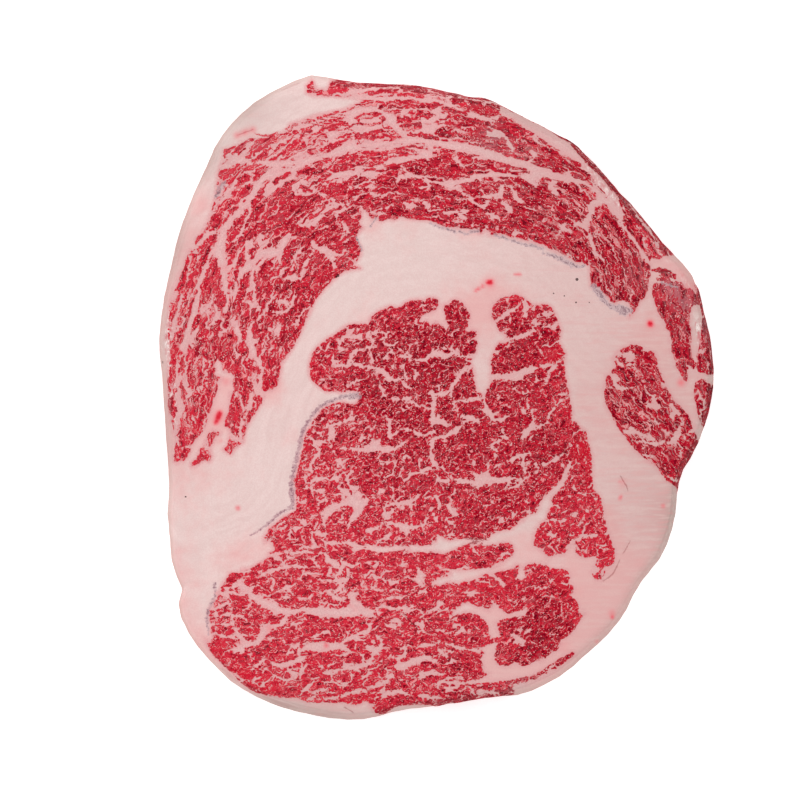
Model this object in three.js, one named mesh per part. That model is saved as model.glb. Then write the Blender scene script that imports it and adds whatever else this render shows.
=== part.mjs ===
// A raw beef rib-eye steak: one slice straight across the rib roast, lying flat on its lower cut face.
// The eye muscle, the fat collar round it, the rib cap and the small rib muscles are grown together,
// so the whole slice is one solid. +Z is up, millimetres, origin under the middle of its bounding box.
import * as THREE from "three";
import { mergeVertices } from "three/addons/utils/BufferGeometryUtils.js";

// ---- Driving dimensions ----
const THICKNESS = 20; // of the cut, at the middle of the slice
const WIDEST_HEIGHT = 7.5; // the soft edge sags, so the slice is widest this far above the board
const FOOT_INSET = 3.6; // how far the flat foot stays inside the widest line
const FACE_INSET = 4.2; // how far the flat upper face stays inside the widest line
const SIDE_LEAN = 1.1; // how far the side draws in between the widest line and the upper rounding
const UPPER_ROUNDING = 4.4; // height of the rounding at the upper edge
const WALL_WAVER = 0.35; // size of each of the two waves that run round the side wall
const MEAN_REACH = 88; // typical way from the middle of the slice to its edge

const SEGMENTS = 124; // steps round the edge
const FACE_RINGS = 13;
const FOOT_RINGS = 3;
const ROUNDING_STEPS = 4;
const WIDEST_RING = FOOT_RINGS + ROUNDING_STEPS;
const CURVE_DIVISIONS = 1200; // fineness of the measuring along the edge curve
const WELD_DISTANCE = 0.001; // vertices closer than this become one

// ---- The edge of the slice, seen from above, anticlockwise from the corner of the fat at the top ----
const EDGE = [
  // outer back fat, down the left side
  [-39, 100], [-45, 97.8], [-52, 94.3], [-59, 89.5], [-65, 83.5], [-69, 77.5], [-71.4, 71.5],
  [-75, 64], [-78.5, 55], [-81.3, 46], [-83.5, 36], [-85.3, 26], [-86.2, 17.5], [-85.2, 7],
  [-84.2, -8], [-83.7, -18], [-83, -29], [-83.6, -36], [-82.6, -46], [-81.7, -53.5],
  // the nick in the fat, and the round lower end
  [-79.4, -57.5], [-79, -60], [-80, -63.5], [-79.4, -68], [-76.5, -74], [-70.5, -81.5],
  [-62, -89.3], [-52, -94.8], [-40, -98.3], [-28, -100], [-20, -99.4], [-12, -97.3],
  [4, -95.1], [18, -92.7], [26, -92.3], [32, -89.8], [39, -86], [46, -80], [53, -73.6],
  [58, -67.3], [61.2, -61], [64.4, -55.9], [68.6, -51], [72, -44], [74.2, -36], [74.7, -28],
  // the rib side, and the long shoulder back to the top
  [76.3, -22.5], [80.6, -15.2], [83.6, -7], [85.8, 4], [85.3, 15], [83, 26], [80.5, 35],
  [77.3, 40.5], [71.5, 46.2], [64, 55.4], [54, 66.8], [48, 73.5], [43, 78.2], [35, 82.9],
  [24, 88.5], [17, 92], [12, 93.2], [8, 93.4], [1, 95.4], [-8, 96.8], [-22, 97.3], [-31, 98.6],
];

// ---- What stands proud of the flat cut, or sinks below it: middle, reach each way, turn, height ----
const SWELLS = [
  { name: "eye", x: 8, y: -18, reachX: 44, reachY: 42, turn: 0.2, height: 1.3 },
  { name: "lower eye", x: -20, y: -68, reachX: 50, reachY: 24, turn: 0.12, height: 0.9 },
  { name: "cap over the shoulder", x: 22, y: 66, reachX: 62, reachY: 20, turn: -0.35, height: 0.9 },
  { name: "cap down the side", x: -62, y: 34, reachX: 22, reachY: 52, turn: -0.3, height: 0.8 },
  { name: "rib muscle", x: 66, y: -2, reachX: 15, reachY: 26, turn: 0.35, height: 0.8 },
  { name: "collar fat above", x: -4, y: 42, reachX: 34, reachY: 12, turn: -0.15, height: -0.7 },
  { name: "collar fat at the side", x: -54, y: -22, reachX: 18, reachY: 34, turn: -0.5, height: -0.6 },
  { name: "collar fat at the rib", x: 60, y: -44, reachX: 18, reachY: 26, turn: -0.45, height: -0.8 },
];
const SLOPE_X = -0.006; // the knife ran a little thinner towards the rib side
const SLOPE_Y = 0.004;

// ---- The long shallow waves that the knife left: height, and how fast each runs along x and y ----
const KNIFE_WAVES = [
  { height: 0.16, alongX: 0.11, alongY: 0.05 },
  { height: 0.12, alongX: 0.07, alongY: -0.16 },
];

// ---- The waves round the side wall: how many, how far they lean with height, and their share ----
const WALL_WAVES = [
  { count: 7, lean: 0.21, share: 1 },
  { count: 16, lean: -0.34, share: 0.6 },
];

// The edge as evenly spaced points, moved so that its bounding box is centred on the origin.
function edgePoints() {
  const corners = EDGE.map(([x, y]) => new THREE.Vector3(x, y, 0));
  const curve = new THREE.CatmullRomCurve3(corners, true, "centripetal");
  curve.arcLengthDivisions = CURVE_DIVISIONS;
  const points = curve.getSpacedPoints(SEGMENTS).slice(0, SEGMENTS);
  const middle = new THREE.Box3().setFromPoints(points).getCenter(new THREE.Vector3());
  return points.map((p) => p.sub(middle));
}

// Half of the slice's section, from the middle of the foot round the edge to the middle of the face.
// x is the share of the way from the middle to the edge, y is the height.
function sectionProfile() {
  const foot = 1 - FOOT_INSET / MEAN_REACH;
  const shoulder = 1 - SIDE_LEAN / MEAN_REACH;
  const face = 1 - FACE_INSET / MEAN_REACH;
  const roundingStart = THICKNESS - UPPER_ROUNDING;
  const profile = [];
  for (let i = 0; i < FOOT_RINGS; i++) {
    profile.push(new THREE.Vector2((foot * i) / FOOT_RINGS, 0));
  }
  for (let i = 0; i <= ROUNDING_STEPS; i++) {
    const angle = (i / ROUNDING_STEPS) * (Math.PI / 2);
    const share = foot + (1 - foot) * Math.sin(angle);
    profile.push(new THREE.Vector2(share, WIDEST_HEIGHT * (1 - Math.cos(angle))));
  }
  for (let i = 0; i <= ROUNDING_STEPS; i++) {
    const angle = (i / ROUNDING_STEPS) * (Math.PI / 2);
    const share = face + (shoulder - face) * Math.cos(angle);
    profile.push(new THREE.Vector2(share, roundingStart + UPPER_ROUNDING * Math.sin(angle)));
  }
  for (let i = FACE_RINGS - 1; i >= 0; i--) {
    profile.push(new THREE.Vector2((face * i) / FACE_RINGS, THICKNESS));
  }
  return profile;
}

// How far the upper face stands off a flat cut at this place.
function swellAt(x, y) {
  let height = SLOPE_X * x + SLOPE_Y * y;
  for (const s of SWELLS) {
    const dx = x - s.x;
    const dy = y - s.y;
    const along = (dx * Math.cos(s.turn) + dy * Math.sin(s.turn)) / s.reachX;
    const across = (dy * Math.cos(s.turn) - dx * Math.sin(s.turn)) / s.reachY;
    height += s.height * Math.exp(-(along * along + across * across));
  }
  for (const wave of KNIFE_WAVES) {
    height += wave.height * Math.sin(wave.alongX * x + wave.alongY * y);
  }
  return height;
}

// How far the side wall wavers inwards at this step round the edge and this height.
function wallWaver(step, height) {
  const angle = (step / SEGMENTS) * 2 * Math.PI;
  let depth = 0;
  for (const wave of WALL_WAVES) {
    depth += wave.share * (1 + Math.sin(wave.count * angle + wave.lean * height));
  }
  return WALL_WAVER * depth * Math.sin((Math.PI * height) / THICKNESS);
}

// Turns the section round the upright axis, then draws every ring out to the real edge.
function steakGeometry() {
  const edge = edgePoints();
  const profile = sectionProfile();
  const turned = new THREE.LatheGeometry(profile, SEGMENTS);
  const position = turned.attributes.position;
  for (let step = 0; step <= SEGMENTS; step++) {
    const rim = edge[step % SEGMENTS];
    for (let ring = 0; ring < profile.length; ring++) {
      const { x: share, y: height } = profile[ring];
      const waver = ring === WIDEST_RING ? 0 : wallWaver(step % SEGMENTS, height);
      const reach = share * (1 - waver / MEAN_REACH);
      const x = rim.x * reach;
      const y = rim.y * reach;
      const lift = THREE.MathUtils.smoothstep(height, WIDEST_HEIGHT, THICKNESS);
      position.setXYZ(step * profile.length + ring, x, y, height + lift * swellAt(x, y));
    }
  }
  turned.deleteAttribute("normal");
  turned.deleteAttribute("uv");
  const closed = mergeVertices(turned, WELD_DISTANCE);
  closed.computeVertexNormals();
  return closed;
}

const meat = new THREE.MeshStandardMaterial({ color: 0xbe4853, roughness: 0.42, metalness: 0 });
const steak = new THREE.Mesh(steakGeometry(), meat);
steak.name = "steak";

const part = new THREE.Group();
part.add(steak);
export default part;
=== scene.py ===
# %% [markdown]
# # A raw, heavily marbled rib-eye steak
# This lesson makes one slice of beef as it lies on a table: a disc of red muscle bundles, fine white
# marbling between them, thick seams of fat round the eye and a soft rim. The packed model gives the
# size and the solid. Everything here is in metres in the same frame, and tables are in millimetres.

# %% Load the frame
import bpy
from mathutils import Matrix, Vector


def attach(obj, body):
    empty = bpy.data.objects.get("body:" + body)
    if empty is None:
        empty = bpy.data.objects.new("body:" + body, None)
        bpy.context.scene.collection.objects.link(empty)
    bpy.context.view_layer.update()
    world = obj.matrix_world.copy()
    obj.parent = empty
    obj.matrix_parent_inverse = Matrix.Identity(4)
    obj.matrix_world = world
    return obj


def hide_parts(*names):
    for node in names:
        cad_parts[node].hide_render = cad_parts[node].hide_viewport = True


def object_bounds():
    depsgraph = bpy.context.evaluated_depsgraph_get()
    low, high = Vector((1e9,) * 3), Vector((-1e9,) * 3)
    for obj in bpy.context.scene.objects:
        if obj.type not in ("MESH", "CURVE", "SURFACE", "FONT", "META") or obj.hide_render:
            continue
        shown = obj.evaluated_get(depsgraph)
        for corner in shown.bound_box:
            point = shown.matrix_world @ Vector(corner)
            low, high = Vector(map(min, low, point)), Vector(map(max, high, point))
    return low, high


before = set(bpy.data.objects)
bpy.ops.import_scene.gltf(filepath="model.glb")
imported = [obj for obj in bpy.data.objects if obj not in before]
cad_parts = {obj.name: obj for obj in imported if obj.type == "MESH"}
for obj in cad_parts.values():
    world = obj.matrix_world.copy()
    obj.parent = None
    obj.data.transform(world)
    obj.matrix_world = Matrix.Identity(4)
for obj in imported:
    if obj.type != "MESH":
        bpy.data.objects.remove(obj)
print("solids:", list(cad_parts))

# %% [markdown]
# The box round the solid is measured before anything is added, so that the finished piece can be held
# against it. bmesh shapes the few plain meshes, and numpy works on all the points of one at once.

# %% Tools and units
import math
import bmesh
import bpy
import numpy as np

MM = 0.001
cad_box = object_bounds()
print("solid, mm:", [round((high - low) / MM, 1) for low, high in zip(*cad_box)])

# %% [markdown]
# ## The camera
# The steak is seen from straight above. An orthographic camera would do, but a long lens from three
# metres keeps a hint of depth, as the eye would have it, so that is chosen. The rim is widest a little
# above the table, and the frame is set out at that height.

# %% Camera
VIEW_WIDTH = 248 * MM
VIEW_CENTRE = (-11.24 * MM, -0.82 * MM)
RIM_HEIGHT = 7.5 * MM
CAMERA_HEIGHT = 3.0
SENSOR = 36  # mm, like the lens below

overhead = bpy.data.objects.new("overhead", bpy.data.cameras.new("overhead"))
overhead.data.sensor_width = SENSOR
overhead.data.lens = SENSOR * CAMERA_HEIGHT / VIEW_WIDTH
overhead.location = (*VIEW_CENTRE, RIM_HEIGHT + CAMERA_HEIGHT)
bpy.context.scene.collection.objects.link(overhead)
bpy.context.scene.camera = overhead
print("lens, mm:", round(overhead.data.lens))

# %% [markdown]
# ## The floor
# Raw meat is shown on a bright, even ground. A large lit room would give one, but a table that glows a
# little by itself, as a light table does, stays white close up to the meat too. It is clear from below,
# so that the underside can be looked at, and lies a hair lower, because two surfaces in one plane
# flicker.

# %% Floor
FLOOR_RADIUS = 6
FLOOR_GAP = 0.2 * MM
FLOOR_COLOUR = (0.98, 0.98, 0.98, 1)
FLOOR_GLOW = 0.45

def light_table(name, colour, glow):
    """A pale matt surface that glows a little and lets one look through it from below."""
    material = bpy.data.materials.new(name)
    material.use_nodes = True
    nodes, links = material.node_tree.nodes, material.node_tree.links
    surface, output = nodes["Principled BSDF"], nodes["Material Output"]
    which_side, clear = nodes.new("ShaderNodeNewGeometry"), nodes.new("ShaderNodeBsdfTransparent")
    one_sided = nodes.new("ShaderNodeMixShader")
    links.new(which_side.outputs["Backfacing"], one_sided.inputs[0])
    links.new(surface.outputs[0], one_sided.inputs[1])
    links.new(clear.outputs[0], one_sided.inputs[2])
    links.new(one_sided.outputs[0], output.inputs["Surface"])
    surface.inputs["Base Color"].default_value = colour
    surface.inputs["Roughness"].default_value = 0.9
    surface.inputs["Emission Color"].default_value = colour
    surface.inputs["Emission Strength"].default_value = glow
    return material

table = bmesh.new()
bmesh.ops.create_circle(table, cap_ends=True, segments=96, radius=FLOOR_RADIUS)
bmesh.ops.translate(table, verts=table.verts, vec=(0, 0, -FLOOR_GAP))
floor_mesh = bpy.data.meshes.new("floor")
table.to_mesh(floor_mesh)
table.free()
floor = bpy.data.objects.new("floor", floor_mesh)
floor_mesh.materials.append(light_table("pale_floor", FLOOR_COLOUR, FLOOR_GLOW))
bpy.context.scene.collection.objects.link(floor)
print("floor radius, m:", round(floor.dimensions.x / 2, 1))

# %% [markdown]
# ## The light
# A sky that is lit all round gives soft light without hard shadows, and four soft boxes off to the
# sides put small wet glints on the lean. The Standard view keeps the reds as they are, where the
# default view would wash them out.

# %% Lights
SKY_STRENGTH = 0.66
BOX_SIZE = 0.8
BOXES = {  # place in metres, and watts
    "left_softbox": ((-1.2, 0.5, 1.5), 7.5), "right_softbox": ((1.2, 0.6, 1.5), 5),
    "near_softbox": ((0.5, -1.3, 1.5), 4.5), "far_softbox": ((-0.3, 1.4, 1.5), 4.5),
}
bpy.context.scene.view_settings.view_transform = "Standard"
sky = bpy.data.worlds.new("sky")
sky.use_nodes = True
sky.node_tree.nodes["Background"].inputs["Color"].default_value = (1, 1, 1, 1)
sky.node_tree.nodes["Background"].inputs["Strength"].default_value = SKY_STRENGTH
bpy.context.scene.world = sky

def softbox(name, place, watts):
    """A square area light that faces the steak."""
    lamp = bpy.data.lights.new(name, "AREA")
    lamp.size, lamp.energy = BOX_SIZE, watts
    holder = bpy.data.objects.new(name, lamp)
    holder.location = place
    holder.rotation_euler = (-holder.location).to_track_quat("-Z", "Y").to_euler()
    bpy.context.scene.collection.objects.link(holder)

for name, (place, watts) in BOXES.items():
    softbox(name, place, watts)

# %% [markdown]
# ## Where the muscles lie
# A rib-eye slice is a few muscles set in fat: the thin spinalis cap that wraps the top, the round
# eye in the middle with its coarser lower end, and two ends of rib muscle on the right. Each could
# be a mesh of its own, but a knife cuts them all to one face, so they are kept as outlines in
# millimetres, and the surface is told how far it is from them. Each outline is drawn with a point
# wherever the edge turns. Where a muscle reaches the rim its outline runs past it.

# %% Outlines of the muscles
MUSCLES = {}
MUSCLES["cap"] = [
    (-81, -19.8), (-80.6, -16), (-80.2, -13), (-81, -10), (-82, -7.5), (-82.8, -4), (-83, 0), (-83, 4),
    (-82.9, 8), (-82.2, 12), (-82.4, 16), (-83, 20), (-82.4, 25), (-82.4, 28.5), (-81, 32), (-80, 35),
    (-79.4, 37.5), (-77.9, 40), (-77.3, 43), (-76, 45.6), (-74.2, 45.5), (-74.3, 48.7), (-72, 51.3),
    (-70.3, 54.2), (-69.3, 57), (-68.6, 60), (-68, 63), (-67.6, 66), (-67.5, 68.5), (-66.7, 71),
    (-66, 73.5), (-65.6, 76.5), (-62.5, 77.3), (-60, 78.6), (-57.5, 79.8), (-54, 80), (-51.5, 80.3),
    (-49, 81), (-46.5, 82), (-45, 84.2), (-41, 85.5), (-37.5, 86.8), (-33, 87.8), (-28, 88.8),
    (-25.5, 90), (-22, 91.6), (-27, 92.7), (-33, 93), (-38, 93.3), (-40, 94), (-40, 96.3), (-38.5, 98),
    (-37, 95), (-34, 94.6), (-33, 96), (-32.5, 97.9), (-30, 98.6), (-20, 99), (0, 98), (20, 93),
    (45, 80), (62, 62), (76, 45), (73, 43.8), (70, 43.6), (68.5, 42.5), (66.5, 43), (65.5, 42.4),
    (66.2, 40.2), (66, 38), (65.6, 35.5), (65.2, 33), (64.3, 31), (62.5, 29), (61.5, 27), (59.6, 24.8),
    (60.3, 27.2), (59.5, 29), (57.5, 30), (55.5, 29.2), (54, 29.4), (52.8, 31), (51.3, 32.4),
    (50.5, 34), (48.2, 34), (47.6, 35), (47.5, 38), (47.2, 40.5), (45.5, 41.6), (43, 42), (41.5, 43),
    (40, 43.6), (38, 44.5), (35.5, 45.8), (33, 47), (31, 47.7), (28, 48.4), (25.5, 49), (23, 49.5),
    (20.5, 50.5), (18, 50.1), (16.2, 50.3), (15.6, 51.8), (14.2, 50.8), (13, 50.8), (12.2, 52),
    (9, 52.2), (6, 52.4), (3, 52.6), (1, 53.4), (0, 54), (-3, 54.8), (-6, 55), (-9, 55.3), (-11, 55.7),
    (-13, 54.9), (-15, 55.2), (-17, 54.5), (-19, 55.6), (-20, 55.1), (-21, 56.5), (-22.2, 58.3),
    (-23, 57.2), (-23.2, 55.2), (-24.2, 54), (-22.8, 52.3), (-24.5, 50.5), (-25, 49), (-24.2, 47.5),
    (-23.3, 45.6), (-23.6, 44), (-24.5, 42.3), (-25.6, 40.8), (-23.5, 39.9), (-26, 39.6),
    (-28.5, 38.9), (-30.5, 37.6), (-32, 36.2), (-34, 34.2), (-36, 32), (-37.3, 30.2), (-38.2, 28.5),
    (-39.2, 26), (-40.3, 24), (-41.5, 21), (-42.8, 18.5), (-44, 16), (-46, 13), (-47.6, 10.6),
    (-48.2, 8.5), (-48.7, 6), (-49.2, 3.7), (-50.8, 2.3), (-53, 1.8), (-54, 2.8), (-54.6, 1),
    (-53.3, 0.3), (-54.2, -2), (-55.5, -4), (-57, -6.3), (-58.5, -9), (-59.5, -12), (-59.7, -13.8),
    (-62, -15.3), (-63.6, -17.6), (-65.8, -16.2), (-64.3, -14.5), (-63.8, -12.3), (-63.5, -11),
    (-64, -9.5), (-65.3, -9), (-65.3, -7.8), (-64.8, -5.5), (-63.9, -4), (-63.7, -1), (-63.6, 1),
    (-62.3, 2.2), (-62.8, 4.5), (-62.3, 6.5), (-63.5, 7.5), (-65.5, 8), (-66.3, 9.5), (-66.5, 11),
    (-67.6, 12), (-68.3, 10), (-68, 8.5), (-69, 7.3), (-68.3, 6.7), (-66.3, 6), (-67.5, 4.7),
    (-67.5, 2.5), (-68.3, 0.5), (-69.2, -2), (-70, -4.5), (-70.7, -6.3), (-71, -8), (-71.8, -10),
    (-73.5, -12), (-75, -13.8), (-76, -15.3), (-76, -16.5), (-77, -18.5), (-78.2, -19.6),
    (-79.3, -19.2), (-80, -20.2),
]
MUSCLES["cap tail"] = [
    (-69.2, -10.2), (-66.8, -11), (-68.6, -12.5), (-68.7, -13.8), (-70, -15), (-69.8, -17), (-69.4, -18.2),
    (-70, -19.6), (-72, -19.3), (-73, -20.3), (-75.5, -21.5), (-75.8, -20.3), (-73.8, -18.8),
    (-72.9, -16.2), (-72, -15.3), (-71, -13.3), (-70.4, -11.3),
]
MUSCLES["eye"] = [
    (-24, .4), (-24.3, 1.7), (-27, 2.1), (-29.5, 1.6), (-31.5, 2), (-33.7, 1.8), (-35.5, 2.8), (-37.2, 4.1),
    (-38.5, 5.7), (-39.1, 7.5), (-39.2, 9.5), (-38.8, 11.5), (-38.2, 13.4), (-36.8, 15.3), (-34.8, 17),
    (-33.2, 18.4), (-31, 19.4), (-29.8, 20.5), (-28, 21.9), (-25.5, 22.5), (-23, 22.6), (-21, 22.5),
    (-20.6, 23.7), (-19.7, 25.1), (-18, 26.4), (-16, 27.4), (-14, 28.1), (-12.3, 27.5), (-11, 28),
    (-9.8, 29), (-7.8, 29.9), (-5.5, 30.1), (-3.6, 29.6), (-2.8, 30.5), (-1, 30.6), (.3, 30.2), (.5, 28.9),
    (.1, 27.6), (-.7, 26.7), (-2.2, 25.9), (-3.6, 25.8), (-4.8, 24.9), (-5.3, 23.2), (-4.2, 22.9),
    (-3.2, 23.7), (-2.3, 22.7), (-1.4, 21.7), (-.3, 23.2), (1.5, 22.2), (3.3, 20.7), (3.9, 22), (3.1, 23.6),
    (2.9, 25.3), (2.3, 27.2), (2.2, 28.5), (4, 28.7), (4.8, 30), (6.4, 30.1), (8, 29), (9.3, 27.5),
    (10.2, 25.7), (10.1, 23.6), (9.6, 21.9), (8.7, 20.9), (9.8, 20.2), (11.2, 21), (12.5, 20), (12, 18.3),
    (12.6, 16.6), (12.2, 14), (11.2, 12.5), (10.3, 11), (11, 9.4), (11.6, 7.5), (11.5, 5.4), (11.9, 3.6),
    (12.3, 2.1), (13.4, 1.3), (14.4, .4), (15.3, .9), (15.7, 2.3), (16.5, 3.6), (17, 4.5), (16.6, 6.5),
    (17.2, 8.2), (16.9, 10), (17, 11.8), (17.8, 13.7), (18.5, 15.5), (19.4, 16.8), (20.8, 17.1),
    (21.8, 17.4), (21.4, 18.3), (21.5, 19.4), (20.3, 19.8), (19.5, 20.5), (18.7, 21.9), (18.9, 23.2),
    (17.7, 23.4), (17, 25), (17, 27), (17.5, 28.6), (18.8, 29.6), (20, 30.7), (22, 31), (24, 31.6),
    (25.7, 31.4), (27, 30.4), (28.3, 29.5), (30, 28.6), (32, 28.7), (34.3, 28.4), (35.8, 27.3),
    (36.6, 25.7), (37.1, 24.2), (37.8, 22.5), (38.4, 20.8), (38.1, 19), (37.6, 17.4), (38.6, 15.6),
    (39.7, 13.5), (39.3, 12.2), (39.4, 10), (39.7, 7), (40.1, 5), (40.6, 3), (41, 0), (41.6, -3),
    (41.9, -5.5), (41.8, -7.3), (43.3, -7.7), (44.3, -9.3), (45.8, -10.3), (46.6, -12.5), (47.2, -15.5),
    (47.9, -18), (48.1, -21), (41.5, -21), (40.2, -22), (38.8, -24), (38.5, -26), (36.6, -27.3),
    (35, -28.8), (33.6, -30.4), (32.6, -31.5), (31.5, -32.4), (31.6, -34), (30.5, -35.6), (28.7, -36),
    (27.4, -36.6), (26.5, -38), (24.5, -39.3), (22.7, -40.7), (20.3, -41), (18.3, -41.5), (16.5, -42.4),
    (16, -43.8), (12, -43.9), (9, -43.5), (6, -43.7), (4, -44), (2, -43.2), (.2, -42.2), (-.2, -44.6),
    (-1.5, -45.4), (-5, -45.8), (-8, -45.4), (-10, -46), (-30, -46), (-50.3, -46), (-49.2, -44.6),
    (-50.3, -44), (-51.5, -43.8), (-52.8, -44.8), (-53.2, -43.3), (-52, -41.5), (-51.5, -40.3),
    (-50, -39.5), (-48.5, -38.2), (-47, -37), (-45, -36), (-43.3, -34.8), (-43.2, -33), (-43.3, -30),
    (-43.6, -27), (-44.3, -25.5), (-43.5, -24.5), (-42.7, -22), (-42.3, -20), (-41.6, -17.5), (-41, -15),
    (-40.8, -12.5), (-40, -10.3), (-38.8, -9), (-38, -7.3), (-36.5, -5.5), (-35.5, -4), (-34, -2.8),
    (-32, -2), (-30, -1.7), (-28.5, -1.5), (-27, -2.2), (-25, -2), (-24, -1),
]
MUSCLES["eye side"] = [
    (41.5, -19), (48, -19), (48.1, -25), (48.4, -28.3), (49.7, -29.7), (50.7, -31.3), (51.3, -34),
    (51.8, -37), (52.3, -39.5), (53, -41.5), (53.8, -43.8), (54.2, -46), (55.4, -47.3), (55.2, -49.5),
    (54.6, -51), (53.3, -52.4), (52, -51.8), (51.9, -54.3), (50.9, -56.2), (49.5, -56.5), (48.5, -55.2),
    (48.1, -54), (48.7, -52.5), (49.6, -50.5), (50, -49.3), (48, -49), (46.3, -49.6), (44.5, -49.2),
    (43.3, -48), (43, -46.7), (43.8, -45.6), (42, -45.3), (40.8, -45.6), (40.3, -47.5), (39, -48.6),
    (37, -48.3), (34.3, -49.5), (33.3, -47.9), (31.8, -46.8), (30.2, -45.7), (30, -42.2), (31, -41.4),
    (30.6, -40.4), (32, -39.2), (34, -37.8), (34.3, -36), (35.2, -34.3), (36.2, -33.3), (35.3, -31.8),
    (35.3, -30.6), (36.5, -29.5), (38, -28.7), (39.3, -27.5), (39.6, -25.5), (40.3, -23.5), (41.5, -21.5),
]
MUSCLES["lower middle"] = [
    (-4, -48), (-2, -47.6), (0, -47.8), (2, -48.2), (4, -47.8), (6, -46.8), (8, -46), (10, -45.1),
    (12, -44.4), (13.8, -44.2), (14.2, -44.9), (14, -46), (17, -45.6), (20, -45), (22.5, -44.8),
    (23.6, -45.8), (23.9, -47.3), (23.6, -48.6), (22, -49.8), (20.3, -51), (18.8, -52.3), (17.8, -52.9),
    (15.5, -52.5), (13, -52.9), (10, -53), (7, -53.3), (4.5, -52.9), (2, -52.5), (.5, -52.2), (-4, -53),
]
MUSCLES["lower eye"] = [
    (-51.5, -43.8), (-50.3, -46), (-49.8, -47.5), (-51.5, -48), (-52, -49.8), (-53.5, -50.5), (-56, -52),
    (-58, -53), (-60, -53.2), (-60.9, -54.2), (-63.8, -54.4), (-64.6, -56), (-66, -58), (-66.6, -59.6),
    (-67.9, -60.4), (-67.6, -62), (-68.6, -63.2), (-69.5, -64.8), (-70.2, -66.5), (-70, -68.5),
    (-69.3, -70.5), (-69.5, -72.3), (-68.8, -74), (-69.8, -75.8), (-71.3, -74.7), (-70.8, -76.2),
    (-70.1, -78), (-69, -79.5), (-67.5, -81.1), (-66, -82.6), (-64.5, -84), (-62.8, -85.7), (-61.7, -86.8),
    (-60.5, -88), (-59, -89.4), (-57.5, -90.5), (-55.5, -91.4), (-53, -91.9), (-50, -92.2), (-47, -92.6),
    (-44, -92.8), (-42, -93.2), (-40, -94), (-36, -94.2), (-32, -94.2), (-29, -94.1), (-27, -94.8),
    (-25, -94.9), (-23, -94.4), (-21, -93.7), (-20.6, -95), (-19.5, -96.5), (-18.2, -98), (-16.5, -98.4),
    (-15, -97.3), (-13.5, -96.3), (-12, -95.3), (-9.5, -95), (-6, -94.9), (-3.5, -95), (-1, -95.6),
    (0, -98), (12, -96), (21, -94), (24, -92), (24.5, -90.6), (23, -89.8), (25, -89), (26, -89.7),
    (27.5, -88.8), (30.5, -87.6), (33.5, -86), (36.5, -84.3), (38.5, -82.8), (41, -81), (43, -79.4),
    (42, -78.6), (39.5, -79.9), (37, -81.4), (35, -82.7), (32.5, -84.4), (30.5, -85.5), (28, -86.3),
    (25, -86.8), (22, -87.4), (19, -87.7), (17, -88), (14.5, -88.4), (11, -87.5), (14, -86.7),
    (15.5, -86.3), (16.5, -85.5), (14.4, -85), (14.6, -83.4), (13.6, -81), (14.6, -78.8), (13.5, -77.2),
    (16.3, -76.2), (16.8, -74.6), (16, -72.5), (16, -71), (15.3, -69.5), (14.3, -68.3), (12.8, -67.4),
    (11.3, -66.6), (9, -66.2), (6.5, -67), (4.5, -68), (4.2, -67.5), (5.5, -66), (7.3, -64.4), (8, -63.5),
    (10, -63.4), (12, -64.3), (14, -64.8), (16, -65.7), (17.6, -64.3), (17, -62.7), (18.5, -63.2),
    (19.5, -65), (20.8, -66), (22.5, -66.9), (25, -65.8), (27, -65.5), (30, -64), (30, -56), (27, -56.9),
    (25.3, -56.3), (24.5, -55.7), (25.2, -54), (25.6, -52), (24.4, -51.6), (23.7, -52.9), (22, -53.3),
    (20, -53.5), (18, -54), (16, -54.4), (14, -55), (12.7, -56), (11, -56.6), (9, -56.8), (7.3, -57.3),
    (6.8, -58), (6, -57.4), (4, -57.1), (2, -57.7), (.8, -58.3), (-.3, -57), (0, -55.8), (2, -55.5),
    (4.3, -54.9), (4.5, -54), (2.5, -53.2), (.3, -53), (.5, -52.5), (0, -48), (-1.8, -47.6), (-3, -48),
    (-5, -47.8), (-8, -47.7), (-8.3, -46.8), (-8.5, -45), (-10, -45), (-10.3, -47.3), (-12, -47.3),
    (-14, -47.6), (-16, -48), (-18, -48), (-20, -47.4), (-22, -46.7), (-23.5, -47), (-25, -47.8),
    (-26, -46.5), (-28, -45.8), (-30, -46), (-33, -46), (-34, -44), (-40, -42),
]
MUSCLES["lower lobe"] = [
    (26, -56.5), (27.9, -55.5), (27.3, -53.8), (26.8, -52.4), (28, -51.7), (29.5, -51.2), (31.5, -51.5),
    (33.5, -51.6), (35, -52.5), (37, -53.2), (38.7, -53), (40.2, -53.4), (41.3, -55), (40.8, -57.2),
    (42.5, -58.8), (42.2, -60.2), (41.2, -61.3), (43.3, -62.8), (44, -65), (44.2, -66.2), (46, -66.4),
    (45, -68), (44.2, -69.3), (43.3, -70.3), (42.3, -71.8), (41.2, -73.2), (38.5, -74.8), (38, -77),
    (36.8, -78.6), (35, -79.6), (33.3, -81.2), (32.4, -82), (31.3, -81.2), (28, -82.7), (26, -82.9),
    (24.3, -81.7), (22.5, -82.9), (21, -83.2), (19.3, -82.5), (18, -80.7), (17.9, -78.5), (18.8, -76.8),
    (19.5, -74.5), (19.8, -73.3), (18.3, -71.5), (18.3, -69.8), (20, -68.8), (22, -68), (25, -67.8),
    (27.8, -67), (28, -65.5), (26, -65.5), (24.8, -66), (22.5, -66.9), (20.8, -66), (19.5, -65), (19, -62),
]
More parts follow.
